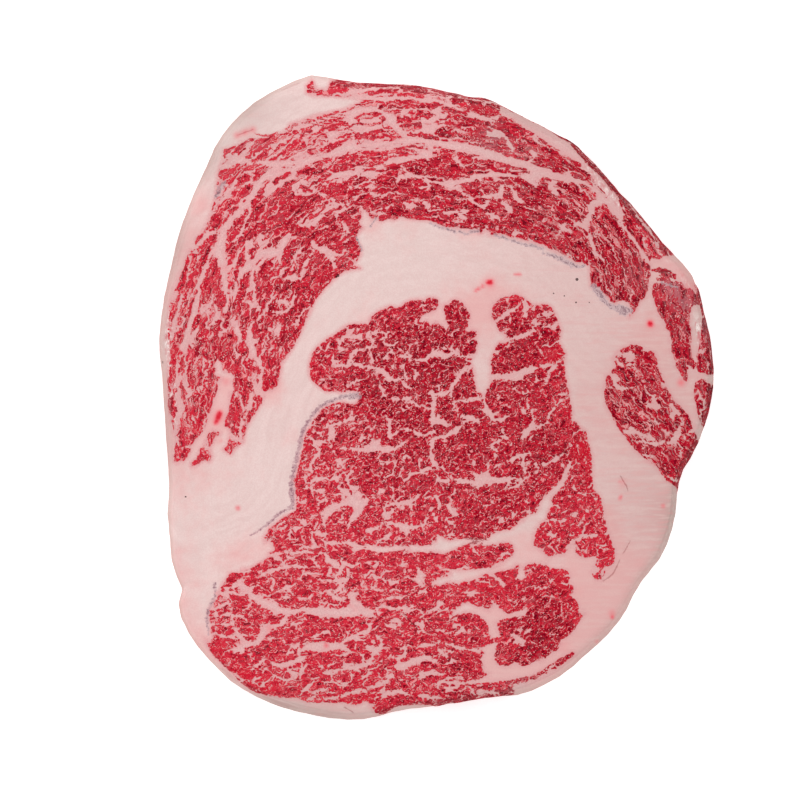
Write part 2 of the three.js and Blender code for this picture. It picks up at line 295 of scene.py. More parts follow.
MUSCLES["rib"] = [
    (54.5, 12), (55.5, 13.5), (57.5, 15.2), (60, 16.3), (62.5, 16), (64.3, 15), (65, 14.2), (66, 14.4),
    (67.3, 13.8), (68, 12), (68.3, 10), (69, 8), (69.8, 5.8), (70.5, 4), (71.5, 2), (72.8, 0), (74.3, -2),
    (76, -3.5), (77.5, -5), (78.3, -7), (79.5, -8.5), (79.3, -10), (80.3, -11.8), (80.8, -13.5), (84, -16),
    (80.5, -24), (76, -31), (74.6, -29), (74, -28), (72, -26.3), (70.3, -25), (69.3, -23), (68, -21.5),
    (66, -20), (64.5, -19), (62.5, -17.3), (60.8, -15.5), (59.2, -13.5), (57.5, -11), (55.8, -8.5),
    (54.3, -6), (53.3, -4), (52.3, -2.5), (52, 0), (51.8, 2), (52, 4), (52.5, 6.5), (53.8, 7), (54.2, 8),
    (55.3, 9.8),
]
MUSCLES["second rib"] = [
    (66.5, 34.5), (67.5, 35.3), (69.5, 35.2), (71, 36), (73.5, 35.8), (75.5, 35.5), (77.5, 34), (79.5, 33),
    (80.7, 31.5), (81.5, 29), (78.8, 28), (78, 23), (78.8, 21), (78.5, 18), (78.5, 15.5), (79, 13),
    (79.8, 10), (79.5, 8.5), (78.8, 9), (78, 10), (77.3, 8), (77.5, 5.8), (77.3, 4.7), (76.5, 5.5),
    (75.5, 7), (74.3, 9), (73.3, 11.5), (72.6, 14), (72.4, 17), (72, 20), (71, 21.5), (70.3, 23.5),
    (69.3, 24.5), (68.3, 26.5), (67.6, 28.5), (67, 30.5), (66.6, 33),
]
MUSCLES["rib rim"] = [
    (79.8, 35), (81.2, 30), (82.2, 25), (82, 22.4), (81.3, 17), (80.6, 13), (80, 9.5), (80.8, 8), (83, 7.2),
    (88, 6.5), (88, 20), (84, 38),
]
MUSCLES["rib rim patch"] = [
    (80, 4.5), (81, 5.6), (82.5, 5.5), (84, 4.3), (88, 3.5), (88, -2), (85, -8), (82.5, -9.5), (81.5, -7),
    (80.8, -5), (80.3, -3), (79.8, -.5), (79.5, 1.5),
]
print("outline points:", {name: len(points) for name, points in MUSCLES.items()})

# %% [markdown]
# ## The seams of fat
# Between the bundles of a muscle run seams of hard white fat. They are drawn as lines with a width
# that changes along them, like strokes of a brush: each point is x, y and the full width there, in
# millimetres. Painting them as curves keeps them crisp at any zoom, which a picture would not.

# %% Seams in the cap
CAP_SEAMS = [
    [(-66, 71.2, 2.2), (-64, 71.5, 1.8), (-62, 73.8, 2.4), (-59.5, 73.2, 1.6), (-56.5, 72.3, .9),
     (-54, 72.8, 1.6), (-52, 72, 2), (-50, 71.8, 2.4), (-47, 72.2, 1.6), (-44, 72.3, 1.6), (-42, 72.8, 2),
     (-40, 73, 2), (-37, 73.7, 1.6), (-34, 74.5, 1.6), (-31, 75.4, 1.8), (-28, 77, 3), (-25.5, 77.5, 3.4),
     (-23, 77, 2), (-20, 77.9, 1.6), (-17, 78.3, 1.6), (-14, 78.5, 1.4), (-11, 79.3, 1.6), (-8, 79.5, 1.8),
     (-5, 79.2, 2), (-2, 78.6, 2), (1, 78.3, 2.6), (5, 77.7, 2.6), (9, 77, 2.8), (13, 76, 3), (16, 75, 2.8),
     (20, 73.8, 2.6), (24, 72.7, 2.4), (28, 71.4, 2.2), (32, 69.8, 3), (35, 68.9, 2.6), (38, 68, 2),
     (41, 67.2, 1.6), (44, 66.7, 1.6), (46, 66, 1.6), (48, 64.9, 1.8), (50, 63, 1.6), (51, 61.5, 2.6),
     (50, 60.4, 2.6), (48, 59.5, 2), (47.8, 58, 1.6), (47.3, 56, 1.2), (46.5, 54.2, 2.4), (45.7, 53, 2),
     (46.5, 51.5, 1.2), (47.3, 49.5, 1), (48, 47.5, .9), (48.7, 45.5, .9), (49.8, 43.7, .9),
     (51, 42.8, .6)],
    [(51, 61, 2.4), (53.5, 60, 3), (55, 58, 2.6), (56.2, 56, 1.8), (57, 54, 1), (58.5, 51.5, .6),
     (60.5, 49, .5), (62.5, 46.5, .7), (64, 44, .8), (65.3, 42, 1.2)],
    [(-67.3, 45, 3), (-66.6, 48, 3), (-66, 51, 2.2), (-64.8, 53.5, 1.4), (-62.8, 55.8, 1.2),
     (-60.8, 57.4, 1.4), (-59, 59.3, 1.2), (-57.5, 61, 1.2), (-56.6, 62.4, 2), (-55.6, 64.5, 2.2),
     (-54, 66.6, 1.8), (-52, 68.3, 1.6), (-49.5, 69, 1.6), (-47, 69.3, 1.2), (-44.5, 70.4, 1.4),
     (-42, 71.5, 1.4), (-40, 73, 1.2)],
    [(-33.5, 67, .8), (-31.5, 68.6, 2), (-28.5, 68.9, 1.6), (-26, 69, 1.6), (-24, 69.3, 1.2)],
    [(-23, 69.7, 3.5), (-20, 69.7, 4), (-17.5, 70.2, 3), (-16.5, 71.5, 1.4), (-15, 72.5, 1.8),
     (-12.5, 73, 1.2), (-10.5, 73.5, 2.2), (-9, 74.3, 2.4), (-7, 73.8, 1.4), (-5, 74.6, 2), (-3, 75.2, 3),
     (-2, 76.5, 2.6), (-1.5, 78, 2)],
    [(-9, 68.7, 1.2), (-6.5, 68.1, 1), (-4.5, 67.5, .6), (-2, 66.5, .8), (0, 66.3, 1), (2.3, 65.8, 2.2),
     (4.5, 65.6, 2.6), (6.5, 66.6, 1.2), (9, 67, 1.2), (11.5, 67.7, 1.4), (14, 68.2, 1.6), (17, 68.9, 1.8),
     (20, 68.8, 1.4), (23, 68.4, 1.2), (26, 68.3, 1.2), (28, 67.8, 1.4), (29.3, 66.9, 2), (30.3, 65.9, 1.2),
     (30.6, 65, .6)],
    [(28.5, 68.5, 2), (31, 68.7, 2.4)],
    [(-66.3, 43, 3), (-65.8, 40, 2.6), (-65.6, 37.5, 1.8), (-65.3, 35, 1.6), (-65, 32.5, 1.6),
     (-64.3, 30.5, 1.2), (-64.6, 28.5, 1), (-64.8, 26.5, .6)],
    [(-68.6, 45.2, 1), (-69.8, 43.8, 1), (-70.3, 43, 1), (-71, 40.5, 1.2), (-72, 38, 1.8), (-73, 36, 2),
     (-73.6, 34, .9), (-73.3, 32.5, 1), (-73.6, 30.5, 1.6), (-74.2, 28.5, 1.6), (-74.7, 26.5, 1.6),
     (-75.3, 24.5, 1.4), (-75.8, 22.8, 1), (-76.6, 21, 1.6), (-77, 18.5, 2.4), (-77.5, 16, 2.6),
     (-77.3, 14.5, 1)],
    [(-74.5, 46.2, .8), (-73.7, 44, .7), (-73.8, 42, .6)],
    [(-73.2, 47.5, 1.4), (-71.3, 49.8, 1.2), (-70, 51, .9), (-68, 50.6, 1), (-66.8, 50, 1.4)],
    [(-61, 37, .6), (-59.8, 38.8, 2), (-58, 40.3, 3), (-56.8, 41, 1.2), (-55.3, 43, 1.4),
     (-53.5, 44.5, 2.6), (-51, 44.8, 3), (-49, 44.6, 2.6), (-47.8, 46, 1.8), (-47, 48.2, 2.4),
     (-46, 49.8, 1.2)],
    [(-47.8, 44, .8), (-48.2, 42.5, .5)],
    [(-56.6, 39, 1), (-57, 36.5, .8), (-56.4, 34.5, .7), (-56.3, 31.5, .8), (-56, 29, .6)],
    [(-61.8, 35, .8), (-62.2, 32.5, .9), (-62.5, 30, .7)],
    [(-62, 22.5, 1.6), (-61.7, 21, 1.8), (-60.8, 19.5, 1.2), (-60.5, 18, .7)],
    [(-58, 21, 1), (-57.5, 19, 1.6), (-57.3, 16.5, 2.2), (-56.7, 14.5, 2), (-55.8, 12.5, 1.6),
     (-54.6, 10.5, 1.6), (-53.8, 8.5, 1.2), (-54.3, 6.5, 1.6), (-54.2, 4.8, 1.6), (-55.3, 3, 2.4),
     (-55, 1.5, 2), (-54, 1, 1.6)],
    [(-48.5, 22, 1), (-48.7, 20.5, 1.6), (-48.7, 18.8, .9)],
    [(-48.5, 29.8, 1.2), (-47, 29.5, 1.6), (-46, 28.8, .8)],
    [(-50, 26.3, .7), (-47.8, 26, 1), (-45.8, 27, .8), (-44.5, 29, .7), (-44, 30.5, 1)],
    [(-47, 36.5, 1.2), (-45.5, 36.9, 1.8), (-43.5, 37, 1.6), (-42, 36.6, 1), (-41.5, 38, 1),
     (-41, 40, 1.2), (-40.3, 41.8, 1.4), (-39.5, 43.3, 1), (-38.3, 44.5, .7)],
    [(-38, 47.5, .8), (-37.5, 47, 1.2), (-35.8, 45.5, 1.6), (-34, 45.2, 2.2), (-32.5, 44, 2.6),
     (-31, 44.2, 1.6), (-29.5, 44, .8)],
    [(-32.7, 42.5, 1.2), (-31.7, 41, .8)],
    [(-39, 53.3, 1.2), (-37.6, 54.2, 1.6), (-36.2, 55.3, 1.4), (-34.8, 56.8, 1.2), (-33, 58, 1.2),
     (-31.3, 59, 1), (-29.7, 59.7, 1), (-27.8, 59.6, .7)],
    [(-29, 53.8, .7), (-27.5, 51.3, 1), (-26.7, 50.8, .7)],
    [(-29, 50.3, .8), (-29.4, 49, .5)],
    [(-22.4, 55.8, 1.4), (-22.5, 57, 1), (-23.3, 58.8, .8)],
    [(-17, 58, .5), (-17.5, 56.8, 1.2), (-18.2, 55.4, .9)],
    [(15.5, 60, 1.4), (15, 58.6, .8)],
    [(16.2, 56.8, .6), (17.8, 55.8, 1.8), (19.3, 55, .8)],
    [(20.7, 60, .9), (22, 58.6, 1.5), (22.8, 57.3, 1), (23.5, 56.5, .5)],
    [(3, 57, .6), (5.5, 57.2, .8), (8.8, 57.5, 1)],
    [(7.6, 56, 1.4), (8.6, 55.3, 1)],
    [(-3.5, 60, 1.2), (-2.4, 59.2, 1.8), (-1.4, 59, .8)],
    [(15, 52, 1.2), (14.3, 51, 1.4), (15.3, 50.6, 1.8)],
    [(11.5, 52.5, .8), (12.3, 51.2, 1)],
    [(24.5, 50.7, 1), (26, 50.5, .5)],
    [(37, 50, .5), (38, 51, .9), (39, 52.5, 1.6), (41, 51.5, 1)],
    [(43.5, 53.5, 1.6), (45.5, 53.3, 2)],
    [(20, 64.5, 1.4), (19.6, 62.3, 2), (20.3, 61, .8)],
    [(14.2, 63.5, .6), (15.3, 62, 1.4), (17.5, 62.2, 1.2), (19, 62, 1)],
    [(23.3, 64.3, 1), (24, 63, 1.2), (24.8, 61.5, 1.6), (25.5, 60.7, 1)],
    [(6.2, 64.6, 1.4), (7.5, 63.6, 1), (9.5, 62.3, 1), (11, 61, .7), (12.5, 59.5, .8), (14, 58.5, .6)],
    [(6.3, 74.8, .7), (6, 73.8, 1.2), (6.8, 72.6, 1.2), (8, 71.5, .8), (8.8, 70.8, .5)],
    [(29.5, 75.8, .7), (30.3, 74.7, .9), (31.3, 73.8, .5)],
    [(29, 73, .8), (30, 73.6, .5)],
    [(30.5, 79.5, .5), (32, 78, .7), (33.3, 76.3, .5)],
    [(8, 88.3, 1.2), (10.5, 87.3, 1), (13, 86.2, .8), (16, 86, .8), (18.5, 85.3, .9)],
    [(16.5, 81.5, 1.4), (19, 81.2, 2.2), (21.5, 80.2, 1), (22.5, 78.5, 1.8), (23.3, 76.8, 1.2)],
    [(-26, 92.3, 1.2), (-18, 92.2, 1.2), (-9, 92.3, 1), (0, 91.5, 1.2), (6, 89.5, 1.2), (12, 86.8, 1),
     (18, 86, 1.2)],
    [(21, 88.3, 2.4), (25, 86.2, 3), (29, 84, 3.4), (33, 81.5, 4), (37, 79, 4.2), (41, 76, 4),
     (45, 73.5, 3.6), (49, 69.5, 3.6), (52.5, 65.5, 4), (55, 61.5, 3), (56.8, 58, 2), (58, 55.5, .8)],
    [(60, 58.5, .9), (61.5, 56.8, 1), (63.5, 54.8, 1), (65.5, 52, 1), (67, 49.5, .8), (68, 47.5, .8)],
    # the pale ground of the sparse upper left, on which the strips below lie
    [(-33, 80, 1), (-31, 82.5, 4), (-28, 85, 7), (-24, 85.5, 8), (-20, 85.5, 8), (-16, 84.5, 7),
     (-13, 83, 4), (-10, 81.6, 1.4)],
    [(-50, 81.5, .5), (-46, 81.6, 2.4), (-41, 82.5, 4), (-36, 83.6, 5), (-32, 84.5, 6), (-28, 86, 5)],
    [(-26, 75.2, 1), (-23, 75.6, 2.6), (-19, 75.6, 2.8), (-14, 76, 2.6), (-10, 77.1, 2.4), (-6, 77, 1.6)],
    [(-79.6, -.8, 1.6), (-79, -3.6, 2.2), (-80.2, -7.4, 1.6), (-80.6, -11, 1.5), (-79.9, -14, .9)],
    [(-58.9, -6, .8), (-57.9, -2.5, 1.3), (-56.9, 1, .9)],
    [(-60, -7, .8), (-60.6, -10.4, 1.4), (-60.3, -13, .9)],
    [(-64.4, -11, 1.2), (-62.4, -12.8, 1.6), (-60.2, -13.6, 1.3)],
]
print("seams in the cap:", len(CAP_SEAMS), "strokes")

# %% [markdown]
# The eye has short, forked seams that start and end inside it, and a few long ones that part it from
# its side muscle and its lower end.

# %% Seams in the eye
EYE_SEAMS = [
    [(-28.3, 18.5, 1.3), (-24, 18.7, 1.5)],
    [(-30, 17, .9), (-30, 14.8, .9), (-28.7, 14.5, .6)],
    [(-32, 12, 1), (-31.5, 10, 1.2), (-30, 9.7, 1.2), (-27, 10, 1.3), (-25.5, 10, 1), (-24, 10, 1.2),
     (-21.5, 9.4, 1), (-19, 9.2, 1.1), (-17.5, 8.5, 1.5), (-16, 7.5, 2), (-14.5, 6, 2), (-13, 5.2, 1),
     (-11.5, 5.6, .8), (-10.2, 4.8, .9), (-9.3, 3.5, .8), (-8.5, 3, .6)],
    [(-27, 10.7, 1.5), (-26, 13, 1.4), (-24.5, 14.6, 1), (-22, 15.2, .9), (-20, 15.6, 1), (-19.5, 17.3, .9),
     (-20.5, 19.3, 1), (-18, 20, 1), (-15.5, 19.8, .9), (-15.8, 18.3, .6)],
    [(-16.5, 17.5, .7), (-15.5, 16.3, .7), (-13.5, 16, .7), (-12.5, 16.7, .7)],
    [(-9, 14, .6), (-8, 16, .6), (-6.5, 16.6, .6)],
    [(-14.5, 11, .4), (-13.5, 9.5, .4), (-12.5, 9.3, .4)],
    [(-16, 12.2, .6), (-14.5, 13, .6), (-13.8, 14.5, .6)],
    [(-11.2, 12.5, .9), (-8.8, 12.5, .7)],
    [(-7.5, 11.5, .5), (-3.5, 11.8, .8), (-2, 12.8, 1.4), (0, 13.6, 2.2), (1.8, 12.8, 1.2),
     (4.2, 13.2, 1.2), (5.6, 14, 2), (7.5, 12.6, 1), (10, 12.4, 1.2), (12.5, 12.6, 2.5)],
    [(.4, 14, 1.2), (.7, 15.8, .5)],
    [(-10, 9, .6), (-9.5, 7, .8), (-9.2, 5.5, .8), (-8.7, 4, .8)],
    [(-6.5, 8, .6), (-6.3, 7.2, 1.1), (-6.5, 6.3, .6)],
    [(-12.8, -.5, .9), (-12.2, -.5, .9)], [(-9.4, -.5, 1.3), (-8.7, -.5, 1.1)],
    [(-7, -1.8, 1), (-5.5, -2.5, .8)],
    [(-1.2, 1.5, .8), (-.8, -2, 1.6), (-1.2, -5, 1.2), (-.8, -7, 2), (1, -7.5, 2.5), (2.2, -8, 1.5)],
    [(-1.2, 1.2, 1), (.5, .9, 1.4), (2.3, 1, 1.4), (3.6, 1.5, 1), (4.8, 3.4, 1.2), (6.3, 5.3, 1.6),
     (8, 7.8, 1.4), (10, 9.6, 1.2), (12.5, 10.5, 2)],
    [(1, 1.2, .8), (.7, 2.8, .5)],
    [(6.5, -1, .8), (8, -.8, 1.2), (9.5, -1.2, .8)], [(11, -.5, .8), (12.5, -.4, 1.2)],
    [(12.5, -7, 1.2), (10.5, -6.4, 1.8), (8.5, -5.9, 1.2)],
    [(8.8, -7.5, .8), (7.5, -9.2, 1), (5.8, -10.3, 1.8), (4, -11.3, 1.3), (2, -12.3, .8), (-.5, -12.8, 1),
     (-1.7, -14.5, 1.4), (-1.7, -16.5, .9), (-1.4, -18.5, 1.2), (-.9, -20.5, 1.8), (.3, -21.8, 1)],
    [(14.2, 1, 1.2), (15, -1.5, .8), (15.3, -3.8, 2.2), (16.6, -5.2, 1.8), (17.8, -6.9, 1.5), (20, -7, 1),
     (22, -6, .5)],
    [(15.5, 6.5, 3), (18, 6.2, 2), (20.5, 6.3, 2), (23, 6.4, 2.6), (25.5, 7, 3), (27.5, 8.2, 2.4),
     (29.5, 8.7, 1.8), (31.3, 9.2, .9), (33.5, 9.9, .7), (36, 10.2, .7), (38, 11.2, .8), (39.8, 12.3, .6)],
    [(36.2, 9.5, .8), (34.8, 8, .8), (34.3, 6.3, .7), (33.8, 4.5, .6)],
    [(28, -1, .6), (28.2, -3, .8), (29.3, -4, .7), (29.8, -6, .8), (29.8, -8, 1.2), (29, -9.5, 2),
     (27.5, -10.8, 2), (26.8, -12, 1)],
    [(29.8, -8.7, 1), (32, -8.8, 1), (34, -8.2, .8), (34.6, -6.5, .6), (35.3, -4.5, .9), (37, -2.5, .8),
     (38.5, -.8, .7), (40, -.3, .6)],
    [(19.2, 23.9, .8), (20.8, 25.3, 1.6), (22, 26.3, 1.8), (23.8, 26.8, .8), (25.3, 28, .7),
     (26.5, 29.3, .7)],
    [(27.5, 29.7, 1), (27.7, 27.7, 2), (27.3, 25.8, 1)],
    [(32.3, 25.9, .8), (34.5, 25.8, 1.8), (36.3, 25.6, .8)],
    [(34.5, 22, 1), (35.8, 22, 1.5), (37.5, 23.2, .7)],
    [(22.5, 17.8, .8), (24.5, 18.3, 1.2), (27, 19.2, 1.6), (28.8, 19.6, 1.4), (29.8, 20.5, .8),
     (29.5, 22, .7), (29.8, 23.5, .6), (31, 24.5, .6)],
    [(32.5, 22.5, .8), (29.9, 22.5, .6)],
    [(16.2, -15, .5), (18, -13.8, .5), (20, -12.8, .5)],
    [(17, -15.5, .5), (18.6, -16.3, .5), (18, -18, .5), (16.8, -19.3, .5)],
    [(20.5, -10.5, .6), (21.5, -12.5, .6), (22.8, -13.5, .6), (23, -14.2, .5)],
    [(15.9, -21.8, .6), (15.6, -23.8, 1.8), (14.3, -25.3, 3), (17, -25.2, 2.3), (19.5, -25.7, 1.9),
     (22, -25.5, 2), (23.6, -25, 1)],
    [(12.3, -24.5, 1.6), (13, -26.5, 2.6), (11, -26.2, .6)],
    [(22.3, -28.2, .6), (24.8, -27.3, 1.1), (26.8, -26, .9), (27.8, -24.7, .8), (27.3, -22.7, .6),
     (26.6, -20.6, 1), (26.8, -19.3, .8)],
    [(23.8, -19, 1.2), (25.5, -18, .9), (28, -17.4, .7), (29.5, -16.7, .4)],
    [(34.5, -20, .8), (36.5, -19.2, 1.1), (38.6, -18, .6)],
    [(29, -20.3, .5), (31.5, -20.8, .5), (34.5, -20.3, .5)],
    [(28.5, -23.7, .5), (31.7, -22.9, .5)], [(18.6, -21.3, .8), (20, -20.8, .8)],
    [(41.2, -20.5, 1), (40.3, -23, 1.3), (39, -26, 1.2), (37.5, -28, 1.5), (35, -30.5, 2.4),
     (33.2, -33, 3.2), (32, -36, 3.4), (30, -38.5, 4.5), (27.5, -41.5, 6.5), (27, -46, 6),
     (26.5, -49.5, 4)],
    [(-15.3, -5.8, .6), (-14.6, -8, .8), (-14.3, -10.5, 1.3), (-14, -12, 1), (-12.5, -11, .8)],
    [(-10.5, -9.8, .6), (-8.5, -9.9, .9), (-7, -10.5, .8), (-5.5, -11.5, .9), (-3.5, -11.6, .8),
     (-1.5, -11, 1)],
    [(-32.3, -8.3, .8), (-31.8, -9.6, 1.6), (-32.2, -11.5, 1.6), (-33, -12.8, .8), (-33.3, -13.8, .6)],
    [(-31.3, -8.6, .8), (-29, -7.6, .9), (-27, -6.9, 1.4), (-25.6, -6, .7), (-26, -4.8, .5)],
    [(-29, -15.7, .5), (-27, -15.9, .8), (-25, -15.9, 1.2), (-23, -16, 1.6), (-21, -15.7, 2.2),
     (-19, -15.2, 2.8), (-17.5, -15.8, 2), (-15.5, -16, 2), (-13.5, -16.2, 1.4), (-12, -15.6, .8),
     (-10.5, -14.3, .7)],
    [(-19.3, -14, 1.4), (-20, -12.5, .6)], [(-23, -13, 1), (-22.5, -12.8, .9)],
    [(-19.8, -9.2, .9), (-19.3, -9, .8)],
    [(-38.5, -12.6, .6), (-37, -14.6, 1.8), (-35, -14, 1), (-33.3, -13.9, .6)],
    [(-36.2, -17, .8), (-37.3, -18.7, 1.6), (-38.9, -20.6, 1.2), (-38.7, -22.5, .8)],
    [(-31.2, -22.4, .8), (-30.8, -24, 1.1), (-31, -25.3, 1), (-33, -25, .6), (-36, -25.2, 1.6),
     (-37.5, -25.4, 1.2), (-38.8, -26.5, .9), (-38.8, -28, .7), (-37.5, -28.7, .7), (-36, -29.3, .6),
     (-35, -29.8, .7)],
    [(-28.5, -20.5, .6), (-28.8, -22.5, .6), (-30.5, -22.2, .6)],
    [(-26.6, -23.4, .6), (-27.5, -25.3, 1), (-27.2, -26.6, .8), (-26, -28, .8), (-24.5, -28, .6)],
    [(-34.5, -39.5, .7), (-34.7, -37.5, 1.2), (-34, -35.7, 2.6), (-31.8, -34.4, 2.4), (-29.5, -33.2, 1.8),
     (-27.2, -32.2, 2.2), (-25.6, -32.2, 4.2), (-23.8, -32.8, 3.8), (-22.4, -32.2, 1.6)],
    [(-25.6, -32, 3), (-27, -30.3, 2), (-28.8, -29, 1.6), (-30, -28, .8)],
    [(-24.5, -30, 1.6), (-24, -28.6, .7)],
    [(-23.5, -33.5, 3), (-24.5, -35.5, 3), (-25.3, -37, 2), (-26.8, -39, .6)],
    [(-15, -33.2, .6), (-13.5, -33, 1.2), (-11.5, -33, 1.6), (-9.5, -32.6, 1.6), (-8, -32, 1.6),
     (-6.5, -31.5, 1.2), (-6, -30.5, .6)],
    [(-8, -33.3, .6), (-7.5, -35, .6)],
    [(-15.8, -35, .6), (-15.3, -36.2, 1.8), (-14, -35.3, .8)],
    [(-16.2, -38.7, .8), (-13.5, -38.9, 1), (-11.5, -39.3, 1.4), (-9.7, -40, 3.2), (-8, -39.9, 2),
     (-6.2, -40, .8), (-4.2, -39.8, .6)],
    [(-21, -41.2, .8), (-20, -41, 1.6), (-18.7, -40.6, 1.2)],
    [(-17.6, -44.2, .6), (-16.2, -43.7, 1), (-14.9, -42.8, 1.2)],
    [(0, -31, 1), (1, -33.5, .8)], [(4, -34, 1.2), (5, -35.2, 2), (6, -36, 1.2)],
    [(-1.5, -35, .9), (-.5, -37, .8)], [(3.5, -38, .8), (5.5, -39.5, .7)],
    [(-2.5, -22, .7), (-5, -23.2, 1), (-8, -24, 1), (-9.5, -25.5, .7)],
    [(2.3, -22.3, .6), (4.5, -24.3, .7), (7, -26, 1.4), (10, -26.2, 1)], [(1, -25.5, 1), (3, -26, 1.2)],
    [(-33.5, -45, .8), (-31.5, -45, 1.6), (-29, -45, 1.2), (-27.2, -44.7, 1.2), (-25.5, -45.5, 1.6),
     (-23.5, -46.2, 1.2), (-21.5, -46, 1), (-19.5, -46.2, 1.8), (-17, -47, 2), (-14.5, -46.7, 1.6),
     (-12, -46.4, 1.6), (-10.3, -46.3, 1.2)],
    [(-8.3, -46.7, 1.2), (-6, -46.7, 1.6), (-4, -47, 2), (-2, -46.7, 2), (0, -45.5, 3), (2, -45.4, 2.4),
     (4, -45.6, 2.4), (6.5, -44.8, 1.8), (9, -44.2, 1), (11, -43.9, .6)],
    [(14, -44.6, .6), (12.5, -45.3, .7), (11, -46.3, .8), (9.5, -47.3, .6)],
    [(13.5, -44.3, .5), (16, -44.2, .8), (18, -43, 2.5), (21, -42.8, 3.4), (24, -42, 4), (27.5, -41, 5.5)],
    [(41, -46, 1), (43, -44, 1.4), (45, -42.8, 1), (47, -42.7, .9), (49, -42.5, 1)],
    [(42.2, -36.2, 1.2), (42.9, -35.8, 1)], [(44.3, -39, .8), (44.8, -38.8, .7)],
    [(46.8, -35, .6), (47.3, -34.8, .5)], [(42.5, -28, .8), (44, -29.5, .8), (45.5, -30, .6)],
    [(34, -42, .8), (36, -42.5, 1.4)], [(36, -38, .8), (39, -38, .8)],
]
print("seams in the eye:", len(EYE_SEAMS), "strokes")

# %% [markdown]
# The lower end is cut more across its bundles, so its seams are short hooks with bays between them. The
# two rib muscles have only a few.

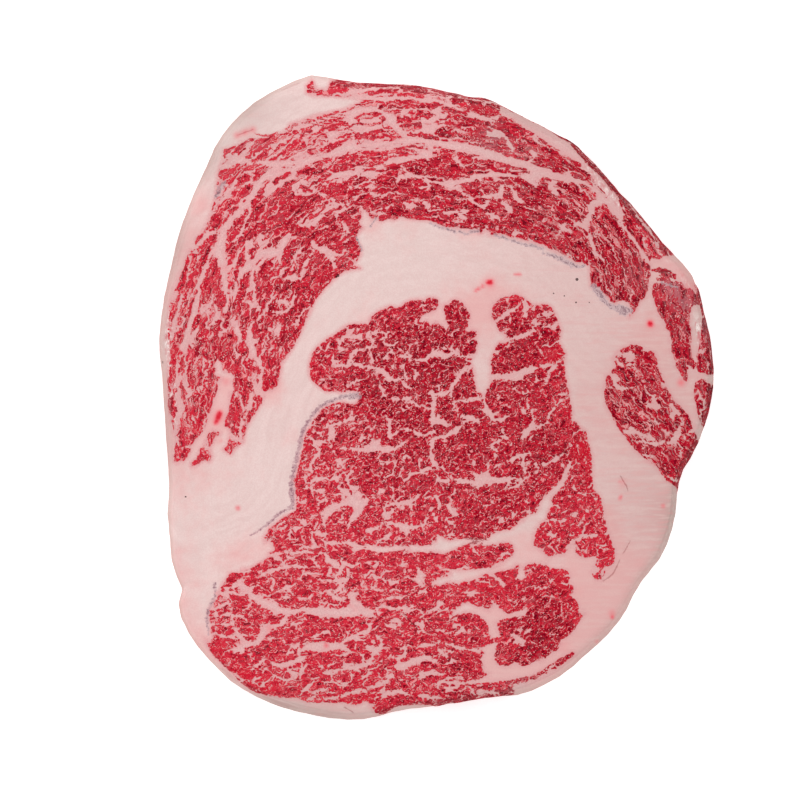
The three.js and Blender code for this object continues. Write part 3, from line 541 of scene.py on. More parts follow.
# %% Seams in the lower eye and the rib ends
LOWER_SEAMS = [
    [(0, -57, 1.5), (2, -56.7, 1.2), (4, -56, 2.2), (5.5, -54.8, 2.4), (8, -54.5, 2.2), (11, -54.2, 1.6),
     (14, -53.8, 1.6), (17, -53.5, 1.4), (19, -52.7, 2), (21, -51.7, 2.2), (24, -50.5, 2.4), (27, -50, 3.5),
     (30, -49.5, 4), (33, -50.3, 3.6), (37, -50.8, 3), (41, -51, 3), (45, -52, 3), (48, -53, 3)],
    [(26.4, -51.7, .6), (26.2, -53.5, 1), (25.4, -55, 1.8), (24.8, -56, .6)],
    [(17.2, -55.2, .6), (19, -56.2, 1.6), (20.6, -57.7, .8)],
    [(12.5, -56.3, .6), (14.5, -56.8, 1.1), (15.8, -57, .6)],
    [(10, -60.2, .8), (11.3, -60.5, 1.6), (12.8, -60.3, .8)],
    [(-64.5, -59, .8), (-62.5, -58.3, 1.6), (-60.5, -57.5, 2.4), (-59.6, -59, 2.4), (-58, -60.3, 1.4),
     (-56.3, -61.5, 1.8), (-54.5, -62.6, 2), (-52.5, -63.6, 2.6), (-50.5, -64.4, 3.2), (-49, -65.4, 3),
     (-47, -66.2, 2), (-45, -66.1, 1.6), (-42, -65.6, 1), (-40, -65.6, 2), (-38, -66, 2.6),
     (-35.5, -66.2, 3.2), (-33, -66.4, 3.2), (-30, -66.5, 3), (-27.5, -66.3, 3.4), (-25.5, -65.8, 4),
     (-23.8, -65.8, 3.4), (-22, -66.3, 3), (-20.5, -66.5, 2.4), (-19.3, -67.3, 1)],
    [(-25, -64, 3), (-26, -62, 2), (-26.3, -61, 1.4), (-24.5, -60.4, .6)],
    [(-32.8, -60.5, 1.4), (-31.3, -61.7, 1.6), (-29.8, -62.2, .8), (-28.3, -61.5, .6), (-27, -60.8, .8)],
    [(-33.7, -49, .8), (-33, -50.5, 1.6), (-31.5, -51.5, 2.2), (-29.8, -52.6, 1.4), (-29.5, -54, 1),
     (-31, -55, 1.2), (-31, -56.5, 1), (-29.5, -57.5, 1.4), (-29.8, -59, 1.2), (-31, -60, .9)],
    [(-38.5, -56.8, .6), (-36, -56.5, .6), (-33.5, -56.4, .6)],
    [(-46, -47.9, .5), (-43, -48.2, 1), (-40.5, -47.6, 1), (-38, -48.2, .6), (-35.5, -48, .8),
     (-34, -48.8, .8)],
    [(-53.5, -54.6, .6), (-51.5, -53.7, 1), (-49.5, -53, 1.2), (-47.5, -52.5, .8), (-45.3, -52.3, .7),
     (-43, -52, 1), (-41, -52.3, .6)],
    [(-47.2, -59.3, .7), (-45.8, -58.9, 1.4), (-44.5, -58.2, .7)],
    [(-47.3, -61.5, .5), (-46, -61.7, .7)], [(-43.3, -56, .8), (-42.6, -56.2, .7)],
    [(-45.8, -66.8, 1), (-46.9, -68.5, 1.4), (-47.9, -70, 1.6), (-50, -70.8, 2), (-52, -71.2, 2.6),
     (-53.6, -72.5, 2.4), (-54.3, -74.3, 2.2), (-55.5, -75.7, 2), (-57.5, -76.2, 1.6), (-59.3, -76.6, 2),
     (-60.4, -77.8, 2.4), (-61.8, -78.2, 1.2), (-63.2, -77.5, .6)],
    [(-59.8, -75.5, 1.2), (-61, -73.5, 1.2), (-61.8, -71.8, .9), (-62.6, -70.3, .7), (-63.5, -69.2, .6)],
    [(-68.8, -70, .5), (-65.5, -70.2, .7), (-62.8, -70.4, .6)],
    [(-68, -73.3, .5), (-65, -73.9, .7), (-62, -74.3, .8)],
    [(-56.5, -83.7, .8), (-55, -82.4, 1), (-53.8, -81, .9), (-52.8, -80, .6)],
    [(-61, -87.8, .6), (-58.5, -87.7, .9), (-56.5, -87.3, .9), (-54.5, -86.5, .8), (-53.6, -85, .8),
     (-52.8, -84, .5)],
    [(-53.7, -88.8, .5), (-51.5, -87, .5), (-50.5, -86, .5)],
    [(-50, -82.5, .6), (-48, -83, 1), (-46.3, -82.7, 1.4), (-44.5, -82, 1.4), (-43, -81.3, 1.8),
     (-41.7, -80.6, 2.2), (-40.6, -79.6, .8)],
    [(-45, -84.8, .8), (-44, -85.3, 1.6), (-43, -86.2, .8)], [(-45.3, -78.8, 1), (-44.6, -78.6, .9)],
    [(-41.8, -78.3, .5), (-40, -77, 2), (-38, -77, 3), (-36, -77, 3), (-34, -76.8, 2.6), (-32, -76.8, 2.8),
     (-30, -77, 2.4), (-28.6, -77.5, 1.6), (-27.5, -78, .8)],
    [(-29, -76, 1.6), (-28.3, -74.8, 1), (-26.5, -74.2, 1.2), (-24.5, -74.4, 1.4), (-22.8, -75, .9)],
    [(-26, -74, .8), (-24.5, -73, .9), (-22.6, -72.8, 1.2), (-21, -72.2, 1.2), (-20.6, -70.5, 1)],
    [(-37, -73.5, 1), (-35.5, -72.8, .7), (-33.8, -72.4, .6)],
    [(-21.5, -76.5, .6), (-20, -77.5, 1.6), (-18.8, -78, 2.2), (-17.6, -77.6, 1.4), (-17, -76, .8),
     (-17, -74.7, .9), (-18, -74, .6)],
    [(-19, -79, 1.2), (-19.8, -80.4, .9), (-20.5, -82, 1.4), (-22.5, -83, 1.6), (-24.8, -83.6, 1.6),
     (-27, -84, 1.2), (-29, -83.9, .8), (-31.3, -84.4, 1.2), (-33.5, -85, 1.4), (-35, -85.3, .7)],
    [(-28.7, -83, .8), (-28, -82.5, 1.2), (-26.4, -82.3, .6)],
    [(-24, -87.3, .5), (-22.6, -86.6, 1.2), (-21, -85.5, 1), (-20, -84.8, .6)],
    [(-20, -89.6, .6), (-18.5, -89, 1.2), (-17, -88.2, 1.4), (-15.3, -87.8, .8)],
    [(-31, -92.8, .6), (-29.5, -92.2, .9), (-27.5, -91.6, 1), (-25.5, -91, 1), (-23.5, -90.5, .9),
     (-21, -90.2, .5)],
    [(-39.5, -93.4, .4), (-36, -93.2, .5), (-32, -93, .6)],
    [(-18.5, -92.6, .7), (-16.5, -92, 1), (-14.5, -91.3, 1.2), (-12.3, -91, 1.6), (-10.5, -91, 1.6),
     (-9, -91.7, .8)],
    [(-38, -87.8, .5), (-38.5, -88.7, .8), (-40, -89.3, 1.2), (-41, -90.5, .7), (-41.8, -91.7, .5)],
    [(-37.5, -91.3, .5), (-36, -90.6, .8), (-34.5, -90.3, .6)], [(-31.5, -87.3, .6), (-30.3, -87.6, .8)],
    [(-17.5, -65, .6), (-16.3, -64.5, 1), (-14.5, -65, .9), (-12.8, -65.3, .6), (-11.3, -66.2, .7),
     (-9.8, -67.5, .5)],
    [(-15.5, -62.2, .6), (-13.5, -61.8, .9), (-11.3, -62, 1), (-9.8, -61.2, .7)],
    [(-10.8, -65, .8), (-9.3, -65.4, 1.6), (-8, -64.8, .8)],
    [(-13.7, -68.8, .6), (-12.4, -68.8, 1), (-10.8, -69.2, .5)],
    [(-14.8, -70.6, 1), (-13, -70.8, 1), (-11.8, -70.4, .5)],
    [(-6, -69.8, 1.2), (-4.8, -70.4, 1.6), (-4.3, -71.8, .6)],
    [(-9.8, -77.5, .8), (-9.5, -79.3, .8), (-10.5, -80.2, .7), (-12, -80.6, .6), (-14, -79.8, .9)],
    [(-12.5, -84.3, .6), (-11.5, -83.2, 2), (-9.5, -82.7, 2.2), (-7.5, -82, 2.4), (-5.5, -81, 2.2),
     (-3.5, -80.4, 1.8), (-2, -80.6, 1.4), (-.5, -81.3, .8)],
    [(-5.6, -77.2, .6), (-3.5, -76.6, 1.2), (-1, -76.6, 1), (.5, -75.8, .6)],
    [(-1.8, -66, .7), (.2, -65, 1.8), (1.3, -63.5, 1.6), (2.2, -62.7, .5)], [(.5, -66, .8), (3, -65.5, .5)],
    [(-5.5, -53.2, 1), (-4.8, -55, 2.4), (-5, -56.5, 2.6), (-4.2, -58, 1)],
    [(-13.5, -57, 1.4), (-12.6, -57, 1.2)],
    [(-4.4, -60, 1), (-3.7, -60, .9)],
    [(4.3, -67.8, .7), (5.5, -66.5, 1.4), (7.3, -65.4, 2.4), (9.3, -65.1, 2.6), (11.5, -65.6, 1.8),
     (13.5, -66.4, 2.4), (15.5, -67, 3), (17, -68.2, 3.4), (17.3, -70.5, 3), (17.8, -72.5, 2.6),
     (17.6, -74.5, .9), (16.4, -76, .6)],
    [(17.5, -66, 3), (18.3, -64.8, 1.5), (17.3, -63.3, 1), (17.2, -62.5, .5)],
    [(19, -67, 2.4), (20.5, -67.4, 1.2)],
    [(13.5, -77.3, .6), (15, -77.8, 1.6), (16.3, -78.5, 2.6), (16.5, -80.5, 3.4), (16, -82.8, 3.4),
     (16.8, -84.5, 3.4), (19.5, -84.5, 3.4), (22.5, -84.4, 3), (25.5, -84.4, 2.6), (28.5, -84.2, 2.4),
     (31.5, -82.8, 2.4), (34, -81.6, 2.6), (36.5, -80, 2.6), (38.5, -78.8, 2.6), (39.5, -77.6, 1.6)],
    [(16.5, -85.5, 2), (14.8, -87.3, 1.6), (13, -88, 1.4), (10.5, -87.9, 1.2), (8.5, -88.3, .9),
     (6, -88.3, .8), (3.5, -88, .7), (1.5, -87.8, .6)],
    [(17, -86.5, 1), (20, -87, 1), (22, -86.6, .8), (23, -86.1, .6)],
    [(24, -73.6, .9), (25.3, -74.6, 1.8), (26.3, -75.4, 1.6), (24.5, -75.6, .8)],
    [(28.2, -72.3, .6), (29, -71.5, 1.4), (29.8, -71, .6)],
    [(27, -66.2, .8), (26.5, -67, 1.6), (25.8, -67.9, .8)],
    [(22.5, -62.7, .7), (24, -63, .9), (25.2, -63.8, .6)],
    [(.8, -72, .6), (2, -72.3, .9), (3, -72.6, .5)], [(4.5, -72.7, .5), (6.5, -72.5, .8), (8, -71.8, .5)],
    [(5.8, -70.5, .6), (6.8, -70.3, .9)], [(1.3, -78.4, .7), (2, -79.2, 1.6), (2.7, -79.7, .6)],
    [(3.3, -76.3, .6), (5, -76.6, 1), (7, -77.3, 1.4), (9.5, -77.9, .9), (12, -77.8, .6)],
    [(-4, -85.2, 1.6), (-2, -84.9, 1.2), (0, -84.9, 1), (1.5, -85.5, .6)],
    [(-9, -86.5, .6), (-6.5, -86.6, .8), (-4.5, -86.4, .7)],
    [(1, -89.6, .7), (3, -89.8, .7), (5, -89.7, .7), (7, -89.3, .7)],
    [(-4.5, -91.9, 1), (-2, -92.7, 1.4), (.5, -92.5, 1), (1.5, -93, .6)],
    [(14, -91, 1.2), (16, -91.2, 1.2), (18.5, -91.4, .8)],
    [(25, -89.5, 2), (28, -89, 2.4), (31, -87.8, 2.4), (34, -86.2, 2.2), (37, -84.7, 1.8),
     (40, -83.2, 1.2)],
]
RIB_SEAMS = [
    [(53.8, 7.3, .8), (55.3, 5.8, 1.8), (54.9, 4, 1.4), (56, 3, 1), (58, 2.8, .6), (60, 2.9, .6)],
    [(55, 12.2, 1), (56.3, 10.6, .9), (58.5, 9.8, 1), (60.5, 10.2, .6)],
    [(57, 13.5, 1.4), (58.3, 12.8, 1), (59.5, 13.6, .6)], [(59.6, 12.5, 1.6), (60.3, 12.6, 1.2)],
    [(64.7, 14.8, 1), (65.3, 14.7, 1)], [(62, 6.5, .5), (63.5, 5, .6), (64.5, 3, .6), (65.5, 1, .5)],
    [(66, -2.5, 2), (68, -3, 1.6), (67, -.8, 1)], [(73, -3, 1.4), (74, -4.5, 1.6), (73, -5.5, 1.2)],
    [(75, -9, 1), (74.5, -11, 2), (73.5, -13, 2), (72, -14, 1)],
    [(79.3, -8.5, 1), (79.8, -10.2, 1.6), (78.5, -10.6, 1)],
    [(64, -13.5, 1), (66, -14.3, 1.2), (68.5, -14.6, 1), (70, -14, .7)],
    [(66, -18.4, 1), (64.3, -17.8, .8)],
    [(60.5, -10, 1.2), (62, -11, 1), (64, -11.8, .8), (67, -12.8, .8)],
    [(57, -9.8, .4), (59, -11.5, .4), (61, -13.3, .4), (63.5, -15.2, .5)],
]
SEAMS = CAP_SEAMS + EYE_SEAMS + LOWER_SEAMS + RIB_SEAMS
print("all seams:", len(SEAMS), "strokes,", sum(len(s) for s in SEAMS), "points")

# %% [markdown]
# Some bundles lie the other way round, as thin red strips on pale ground: in the sparse upper left of
# the cap, in the outer sheet of muscle at the top, and near the rim. They are strokes too, and laid on
# after the seams.

# %% Strips of muscle on pale ground
STRIPS = [
    [(-55.5, 81.3, .5), (-53.5, 80.7, .8), (-51.5, 80.8, .8), (-49.5, 81.6, .5)],
    [(-48.5, 80.9, .5), (-46.5, 81.4, .8), (-44.5, 82.2, .6), (-42.5, 82.5, .5), (-40, 83, .6),
     (-38, 83.8, .5)],
    [(-46.3, 82.8, .4), (-45, 83.8, .5), (-44, 84.3, .4)],
    [(-45, 80.6, .6), (-43, 81.4, .9), (-41, 82.2, .7), (-39.3, 82.2, .6)],
    [(-41.8, 80.7, .6), (-40, 80.8, .9), (-38, 81.2, .9), (-36, 81.6, .8), (-34.5, 81.5, .5)],
    [(-36, 82.3, .6), (-34.5, 83.2, 1.2), (-32, 83.8, 1.4), (-30, 84.2, 1), (-28, 84.3, .8)],
    [(-33.5, 82.6, .5), (-31, 82.5, .9), (-28.5, 82.8, 1.1), (-26.5, 83.6, 1), (-25.5, 84.3, .5)],
    [(-29.5, 81, .6), (-27.5, 80.9, .9), (-25.5, 81.6, .7)],
    [(-27.5, 79.5, .5), (-26, 80, .6), (-24.8, 80.3, .5)],
    [(-37, 84.2, .5), (-35, 85, .5), (-32.5, 85.6, .7), (-30.5, 85.8, .7), (-28.5, 86.3, .4)],
    [(-36.5, 86.5, .4), (-33.5, 87, .5), (-30, 87.8, .4), (-28, 88.3, .5)],
    [(-41, 84.8, .3), (-39, 85.8, .4), (-37, 85.3, .4)],
    [(-24.5, 86.3, .8), (-23, 87.2, .9), (-21, 87.6, .8), (-19, 87.9, .8), (-17.3, 87.4, .8),
     (-16.3, 86.3, .9), (-16.3, 84.9, .9), (-17.3, 84.5, .8), (-20, 84.2, .9), (-22.5, 84.3, 1),
     (-24, 84.8, .9), (-24.3, 86, .8)],
    [(-22, 86.2, .8), (-20, 86.3, .8), (-18.5, 86.9, .6), (-17.3, 86, .6)],
    [(-22, 80.6, .8), (-20.5, 81.5, 1), (-18.5, 82.2, 1.1), (-16.5, 82.3, 1.2), (-14.5, 82.6, 1.1),
     (-13, 82, .8)],
    [(-17, 81.3, .7), (-15, 80.7, .9), (-13, 80.2, 1), (-11.6, 80.5, .7)],
    [(-15.5, 84, .8), (-14.3, 83.2, 1), (-13.2, 82.3, .8)], [(-23.6, 82, .5), (-22.8, 82.8, .5)],
    [(-23.7, 78.5, .7), (-21.5, 79, .5), (-19, 79, .4)],
    [(-26.3, 74.9, .5), (-24, 75.6, .7), (-21.5, 75.9, .8), (-19, 75.5, .8), (-17, 75.6, .7),
     (-14.5, 75.9, .9), (-12, 76.6, 1.2), (-9.5, 77.3, 1), (-7.5, 77.6, .9), (-5.5, 77, .7),
     (-3.2, 76.6, .5)],
    [(-23, 69.3, .6), (-21.5, 70.2, .8), (-19.5, 70.3, .8), (-17.5, 69.8, .7)],
    [(-15.5, 71, .8), (-13, 71.3, 1), (-11, 70.7, .8)],
    [(-16, 69.2, .8), (-13, 69.2, 1), (-10.5, 69.4, .8)],
    [(-16, 67.9, .8), (-14, 68.3, .6)],
    [(67, 39.3, .7), (69.2, 39.2, 1.5), (71, 38.2, 2.8), (72.8, 37.6, 1.6)],
    [(68.8, 36.5, 1), (71.4, 36.2, 1.3)],
    [(-31, 72.1, .9), (-26.5, 73.2, 1.4), (-23.2, 74.1, 1.3), (-20, 74.7, 1.2), (-16.8, 75.1, 1.1),
     (-13.5, 75.6, .9), (-10.4, 76, .9), (-7.5, 76.1, .6)],
    [(-30.5, 70.3, .9), (-26.5, 71.4, 1.3), (-23.2, 72.3, 1.2), (-20, 73, 1), (-16.8, 73.6, 1),
     (-13.5, 74.2, .8), (-10.4, 74.8, .8), (-6, 75.1, .6)],
    [(12.5, -76.2, .8), (15, -75.8, 1.2), (18, -75, 1.6), (21, -74.6, 1.6), (23, -74.8, 1)],
    [(17, 92.3, .9), (25, 89, .9), (33, 84.6, .9), (40, 79.8, 1)],
    [(42.3, 77.8, .9), (45, 74.8, 1.5), (47.8, 72, 1.8), (50.4, 69.2, 1.6), (53.6, 66, 1.8),
     (55.8, 63.5, 1.6), (58, 60.2, 2.2), (60.4, 57.2, 1.8)],
]
print("strips:", len(STRIPS))

# %% [markdown]
# ## Thin skins, creases and spots
# Grey silverskin lies between some muscles, and the knife leaves creases in the soft lean and along the
# rim, which are darkened with painted shade; those at the very rim are painted shadow lines where the side
# turns under. Both are strokes as well. They are kept apart from the seams, because they are drawn over
# lean and fat alike and sink in a little.

# %% Silverskin and creases
FILMS = [
    [(-24.5, .3, 1.5), (-26.5, .4, 1.6), (-28.5, .2, 1), (-31, -.5, 1), (-33.5, -1.3, 1), (-36, -3, 1),
     (-38, -5.2, 1), (-39.5, -7.3, 1), (-41, -9.8, 1), (-42, -12.5, 1), (-42.3, -15.5, 1),
     (-43, -18.5, 1), (-43.7, -21, 1.2), (-44.2, -23.5, 1.3), (-44.8, -26, 1), (-44.6, -29, 1.5),
     (-44.4, -32, 1.5), (-44.5, -33.8, 1), (-46.5, -34.7, .9), (-48.5, -35.8, .8), (-50, -37.5, .7),
     (-51.7, -39, .7), (-53.5, -40.3, .6), (-55.5, -41.5, .5), (-56.8, -42.3, .3)],
    [(-68.5, -58, .9), (-68.3, -60.5, .6), (-69, -63, .6), (-70.3, -65, .6), (-70.8, -67.5, .8),
     (-70.8, -70, .5), (-70.5, -72.5, .4)],
    [(-20, 53.3, .4), (-19, 54.7, .5)], [(-24.5, 49, .5), (-23.8, 47.5, .5), (-23, 45.7, .4)],
    [(-1.5, 53.6, .5), (.5, 52.6, .6), (3, 51.8, .6), (6.5, 51.2, .7), (9, 50.5, .6)],
    [(11, 50.9, 1), (12.5, 51.2, .8)],
    [(18.5, 49.8, .6), (20.5, 49.3, .8), (22.5, 48.6, .6), (25, 47.7, .7), (28, 47, .9), (30.5, 46.5, .7),
     (32.5, 45.9, .5)],
    [(33.5, 44.3, .5), (36, 43.8, .9), (38.5, 42.8, 1.4), (40, 42, 1.5), (41.5, 41, 1.3), (43.5, 40.2, 1),
     (45, 40.3, .8)],
    [(48.8, 33.8, 1.8), (50, 32.5, 2), (51.2, 30.8, 1.8), (52.5, 29, 1.3), (54, 28, 1.3), (56, 27.6, 2),
     (57.8, 26.8, 2.8), (59.3, 26.8, 1.4)],
    [(-67.7, 62.5, 1.2), (-66.8, 64.8, 1.6), (-65.8, 65.8, .8)],
    [(70, 35.4, .5), (74, 34, .5)],
]
CREASES = [
    [(51.8, -56.5, .2), (53, -55.8, .45), (54.6, -54.4, .4), (55.6, -52.6, .45), (56.5, -50.5, .2)],
    [(57.8, -48, .2), (58.6, -46.8, .35), (59.7, -44.7, .2)],
    [(57, -24.6, .2), (57.8, -26, .4), (58.8, -27.6, .4), (59.1, -28.6, .2)],
    [(-66, -84.3, .5), (-64.2, -85.9, 1.1), (-62.4, -87.4, .5)],
    [(-53.2, -92.9, .5), (-49.7, -94.4, 1), (-46.2, -95.5, 1.3), (-43.6, -96.1, .5)],
    [(-47.5, 95.4, .3), (-45, 96.5, .7), (-42.5, 97.4, .3)],
    [(-43.7, 56.4, .3), (-42.6, 57.5, .7), (-41.5, 58.6, .3)],
    [(-30.5, -48.5, .2), (-29, -49.4, .45), (-27.3, -50.3, .2)],
    [(-27.6, -55.3, .3), (-26.5, -55.8, .3)], [(-28, -59, .2), (-25.5, -58, .3)],
    [(-19.3, -70, .2), (-17.5, -68.3, .35), (-15.5, -66.5, .2)], [(-16.5, -84, .3), (-15.2, -82.5, .3)],
    [(-10, -67.3, .2), (-7, -70, .35), (-5.8, -71.5, .2)], [(-36, -88.5, .3), (-34.3, -88.4, .3)],
    [(.5, -18.8, .3), (3, -17, .3)], [(36.5, -18, .2), (38.7, -17.3, .4), (41, -16.5, .2)],
    [(29, -18.5, .2), (31.5, -18.8, .3), (34, -19.5, .2)],
    [(41, -40, .2), (41, -42.5, .3), (40.5, -45, .2)],
    [(-8, -29.5, .2), (-5.5, -28, .3)], [(-28, -96, .4), (-26, -97.3, .3)],
    [(-61, 81.1, .2), (-59, 81.8, .4), (-57, 82.5, .2)],
]
print("silverskin:", len(FILMS), "strokes, creases:", len(CREASES))

# %% [markdown]
# ## The slab
# The packed solid is a clean slab with a wavy knife cut. Its triangles are too large to carry marbling,
# which is a millimetre wide. Subdividing would keep their odd shapes, so a copy is rebuilt on an even
# voxel grid. The solid's triangles are loose, and the copy is merged first.

# %% Copy of the solid on an even grid
VOXEL = 0.66 * MM
SAME_POINT = 0.01 * MM

def finished(thing, kind, **settings):
    """Applies one modifier to the thing's mesh."""
    modifier = thing.modifiers.new(kind, kind)
    for name, value in settings.items():
        setattr(modifier, name, value)
    graph = bpy.context.evaluated_depsgraph_get()
    mesh = bpy.data.meshes.new_from_object(thing.evaluated_get(graph))
    thing.modifiers.clear()
    thing.data = mesh

copy = bmesh.new()
copy.from_mesh(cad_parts["steak"].data)
bmesh.ops.remove_doubles(copy, verts=copy.verts, dist=SAME_POINT)
slab_mesh = bpy.data.meshes.new("marbled_steak")
copy.to_mesh(slab_mesh)
copy.free()
steak = bpy.data.objects.new("marbled_steak", slab_mesh)
bpy.context.scene.collection.objects.link(steak)
finished(steak, "REMESH", mode="VOXEL", voxel_size=VOXEL, use_smooth_shade=True)
print("grid faces:", len(steak.data.polygons))

# %% [markdown]
# The cut face is looked at most and the underside least. A coarser grid would blur both, so the grid
# stays fine and Decimate thins it afterwards: fully where the surface faces down, a little round the
# side, and not at all on top.

# %% Fewer faces underneath
TRIANGLES = 197_000
FACES_DOWN, FACES_UP = -0.7, 0.35  # how far up the surface faces, from -1 to 1
SIDE_SHARE = 0.35

def corners(mesh):
    """The mesh's points as an array, in metres."""
    flat = np.empty(len(mesh.vertices) * 3)
    mesh.vertices.foreach_get("co", flat)
    return flat.reshape(-1, 3)

def facings(mesh):
    """The direction that each point's surface faces."""
    flat = np.empty(len(mesh.vertices) * 3)
    mesh.vertex_normals.foreach_get("vector", flat)
    return flat.reshape(-1, 3)

def count_triangles(mesh):
    """How many triangles the mesh's faces come to."""
    return sum(len(face.vertices) - 2 for face in mesh.polygons)

thinned = steak.vertex_groups.new(name="thinned")
up = facings(steak.data)[:, 2]
for share, chosen in ((1.0, up < FACES_DOWN), (SIDE_SHARE, (up >= FACES_DOWN) & (up < FACES_UP))):
    thinned.add(np.flatnonzero(chosen).tolist(), share, "REPLACE")
all_triangles = count_triangles(steak.data)
finished(steak, "DECIMATE", ratio=TRIANGLES / all_triangles, vertex_group="thinned",
         use_collapse_triangulate=True)
print("triangles:", all_triangles, "->", count_triangles(steak.data))

# %% [markdown]
# ## Telling the surface what lies under it
# A shader can't look up a table of strokes, so each point of the mesh is told how far it is from the
# nearest one, and the shader draws the edge where that distance crosses the stroke's width. A distance
# changes evenly from point to point, which is why the edge stays sharp between them.

# %% Distances to outlines and strokes
REACH = 5.0  # mm past which a stroke isn't felt

def near_edge(points, order, along, a, b):
    """Indices of the points near the edge from a to b, with how far along it and how far off they are."""
    low, high = np.minimum(a, b) - REACH, np.maximum(a, b) + REACH
    first, last = np.searchsorted(along, [low[0], high[0]])
    some = order[first:last]
    some = some[(points[some, 1] > low[1]) & (points[some, 1] < high[1])]
    away, way = points[some] - a, b - a
    length = math.hypot(*way)
    share = np.clip(away @ way / length**2, 0, 1)
    side = (way[0] * away[:, 1] - way[1] * away[:, 0]) / length
    return some, share, side, np.hypot(*(away - share[:, None] * way).T)

def sorted_along(points):
    """The points' order from left to right, and their places in it."""
    order = np.argsort(points[:, 0])
    return order, points[order, 0]

def stroke_distances(points, strokes):
    """Side offset, distance and half-width of the stroke nearest to each point, in mm."""
    order, along = sorted_along(points)
    found = np.tile((REACH, REACH, 0.0), (len(points), 1))
    for stroke in strokes:
        for a, b in zip(stroke, stroke[1:]):
            some, share, side, away = near_edge(points, order, along, np.array(a[:2]), np.array(b[:2]))
            half = (a[2] + (b[2] - a[2]) * share) / 2
            closer = away - half < found[some, 1] - found[some, 2]
            found[some[closer]] = np.stack((side, away, half), 1)[closer]
    return found

def depth_inside(points, outline):
    """How far each point lies inside the outline, in mm, less than zero outside."""
    order, along = sorted_along(points)
    away = np.full(len(points), REACH)
    inside = np.zeros(len(points), bool)
    for a, b in zip(outline, outline[1:] + outline[:1]):
        some, _, _, near = near_edge(points, order, along, np.array(a, float), np.array(b, float))
        away[some] = np.minimum(away[some], near)
        if a[1] != b[1]:
            crossed = (points[:, 1] > min(a[1], b[1])) & (points[:, 1] <= max(a[1], b[1]))
            cut = a[0] + (points[:, 1] - a[1]) * (b[0] - a[0]) / (b[1] - a[1])
            inside ^= crossed & (points[:, 0] < cut)
    return np.where(inside, away, -away)

middle = np.array([(0.0, 0.0)])
print("the middle lies", round(float(depth_inside(middle, MUSCLES["eye"])[0]), 1), "mm inside the eye")

# %% [markdown]
# Below its widest ring the slice isn't the same as on the cut face, since bundles wander through the
# meat. Sliding the tables a little sideways with depth gives the lower side and the underside their own
# marbling, while the muscles still meet all round.

# %% Each point's distances
WANDER = 1.6  # mm that a bundle moves sideways between the rim and the underside
WANDER_X, WANDER_Y = 9, 11  # mm that set how often the slide swings from side to side
points = corners(steak.data) / MM
below = np.clip(1 - points[:, 2] / (RIM_HEIGHT / MM), 0, 1)
spots = points[:, :2] + WANDER * below[:, None] * np.stack(
    (np.sin(points[:, 1] / WANDER_X), np.cos(points[:, 0] / WANDER_Y)), 1)
depths = {name: depth_inside(spots, outline) for name, outline in MUSCLES.items()}
lean = np.max(list(depths.values()), 0)
seam = stroke_distances(spots, SEAMS)
strip = stroke_distances(spots, STRIPS)
film = stroke_distances(spots, FILMS)
crease = stroke_distances(spots, CREASES)
print("points in muscle outlines:", f"{(lean > 0).mean():.0%}")

# %% [markdown]
# ## The run of the fibres
# Bundles are long where a muscle is cut along its layers and round where it is cut across. Each muscle
# gets its own coordinates: along the layers and across them, with the along one squeezed, so that any
# pattern drawn on them comes out stretched that way. The cap's layers follow the curve of the cap. One
# direction for the whole slice would be simpler, but the muscles would then look printed on.

# %% Coordinates along and across the layers
CAP_CURVE = [(-70, -24), (-72, 0), (-69, 20), (-62, 40), (-50, 56), (-35, 66), (-15, 72), (5, 71),
             (25, 67), (42, 60), (54, 48), (61, 26)]
CAP_STRETCH = 2.7
# Each muscle has the direction of its layers in degrees, the stretch along them and a point to measure
# from. Where it touches another, a second point says what to count from there, so the patterns meet.
LAYERS = {
    "eye": (30, 1.25, (-42, -46)), "eye side": (30, 1.25, (-42, -46)),
    "lower eye": (6, 1.5, (-42, -46)), "lower middle": (6, 1.6, (-42, -46)),
    "lower lobe": (32, 1.6, (24, -61), (42, -22)), "rib": (-50, 2.3, (66, -5)),
    **dict.fromkeys(("second rib", "rib rim", "rib rim patch"), (-82, 2.4, (74, 20), (86.6, 13.8))),
}
BLEND = 2.5  # mm over which one muscle's layers turn into the next one's

def rounded(line, rounds=3):
    """The line with its corners cut, several times over."""
    line = np.array(line, float)
    for _ in range(rounds):
        cut = np.concatenate((line[:-1] * 0.75 + line[1:] * 0.25, line[:-1] * 0.25 + line[1:] * 0.75), 1)
        line = np.vstack((line[:1], cut.reshape(-1, 2), line[-1:]))
    return line

def along_curve(points, line):
    """Length along the curve and signed distance across it, for each point."""
    starts, ways = line[:-1], np.diff(line, axis=0)
    lengths = np.hypot(*ways.T)
    before = np.cumsum(lengths) - lengths
    best, along = np.full(len(points), 1e9), np.zeros((len(points), 2))
    for start, way, length, so_far in zip(starts, ways, lengths, before):
        away = points - start
        share = np.clip(away @ way / length**2, 0, 1)
        gap = np.hypot(*(away - share[:, None] * way).T)
        side = np.sign(way[0] * away[:, 1] - way[1] * away[:, 0])
        closer = gap < best
        best[closer] = gap[closer]
        along[closer] = np.stack((so_far + share * length, side * gap), 1)[closer]
    return along

def layered(points, degrees, stretch, origin, start=(0, 0)):
    """Straight layers: squeezed length along them, and distance across."""
    turn = math.radians(degrees)
    away = points - origin
    along = away @ (math.cos(turn), math.sin(turn))
    across = away @ (-math.sin(turn), math.cos(turn))
    return np.stack((along / stretch, across), 1) + start

curve = along_curve(spots, rounded(CAP_CURVE)) / (CAP_STRETCH, 1)
runs = {"cap": curve, "cap tail": curve, **{name: layered(spots, *run) for name, run in LAYERS.items()}}
pulls = {name: np.clip(depths[name] - lean + BLEND, 0, BLEND)**2 for name in MUSCLES}
grain = sum(pulls[name][:, None] * runs[name] for name in MUSCLES) / sum(pulls.values())[:, None]
print("layers along, mm:", [round(float(v)) for v in (grain[:, 0].min(), grain[:, 0].max())])

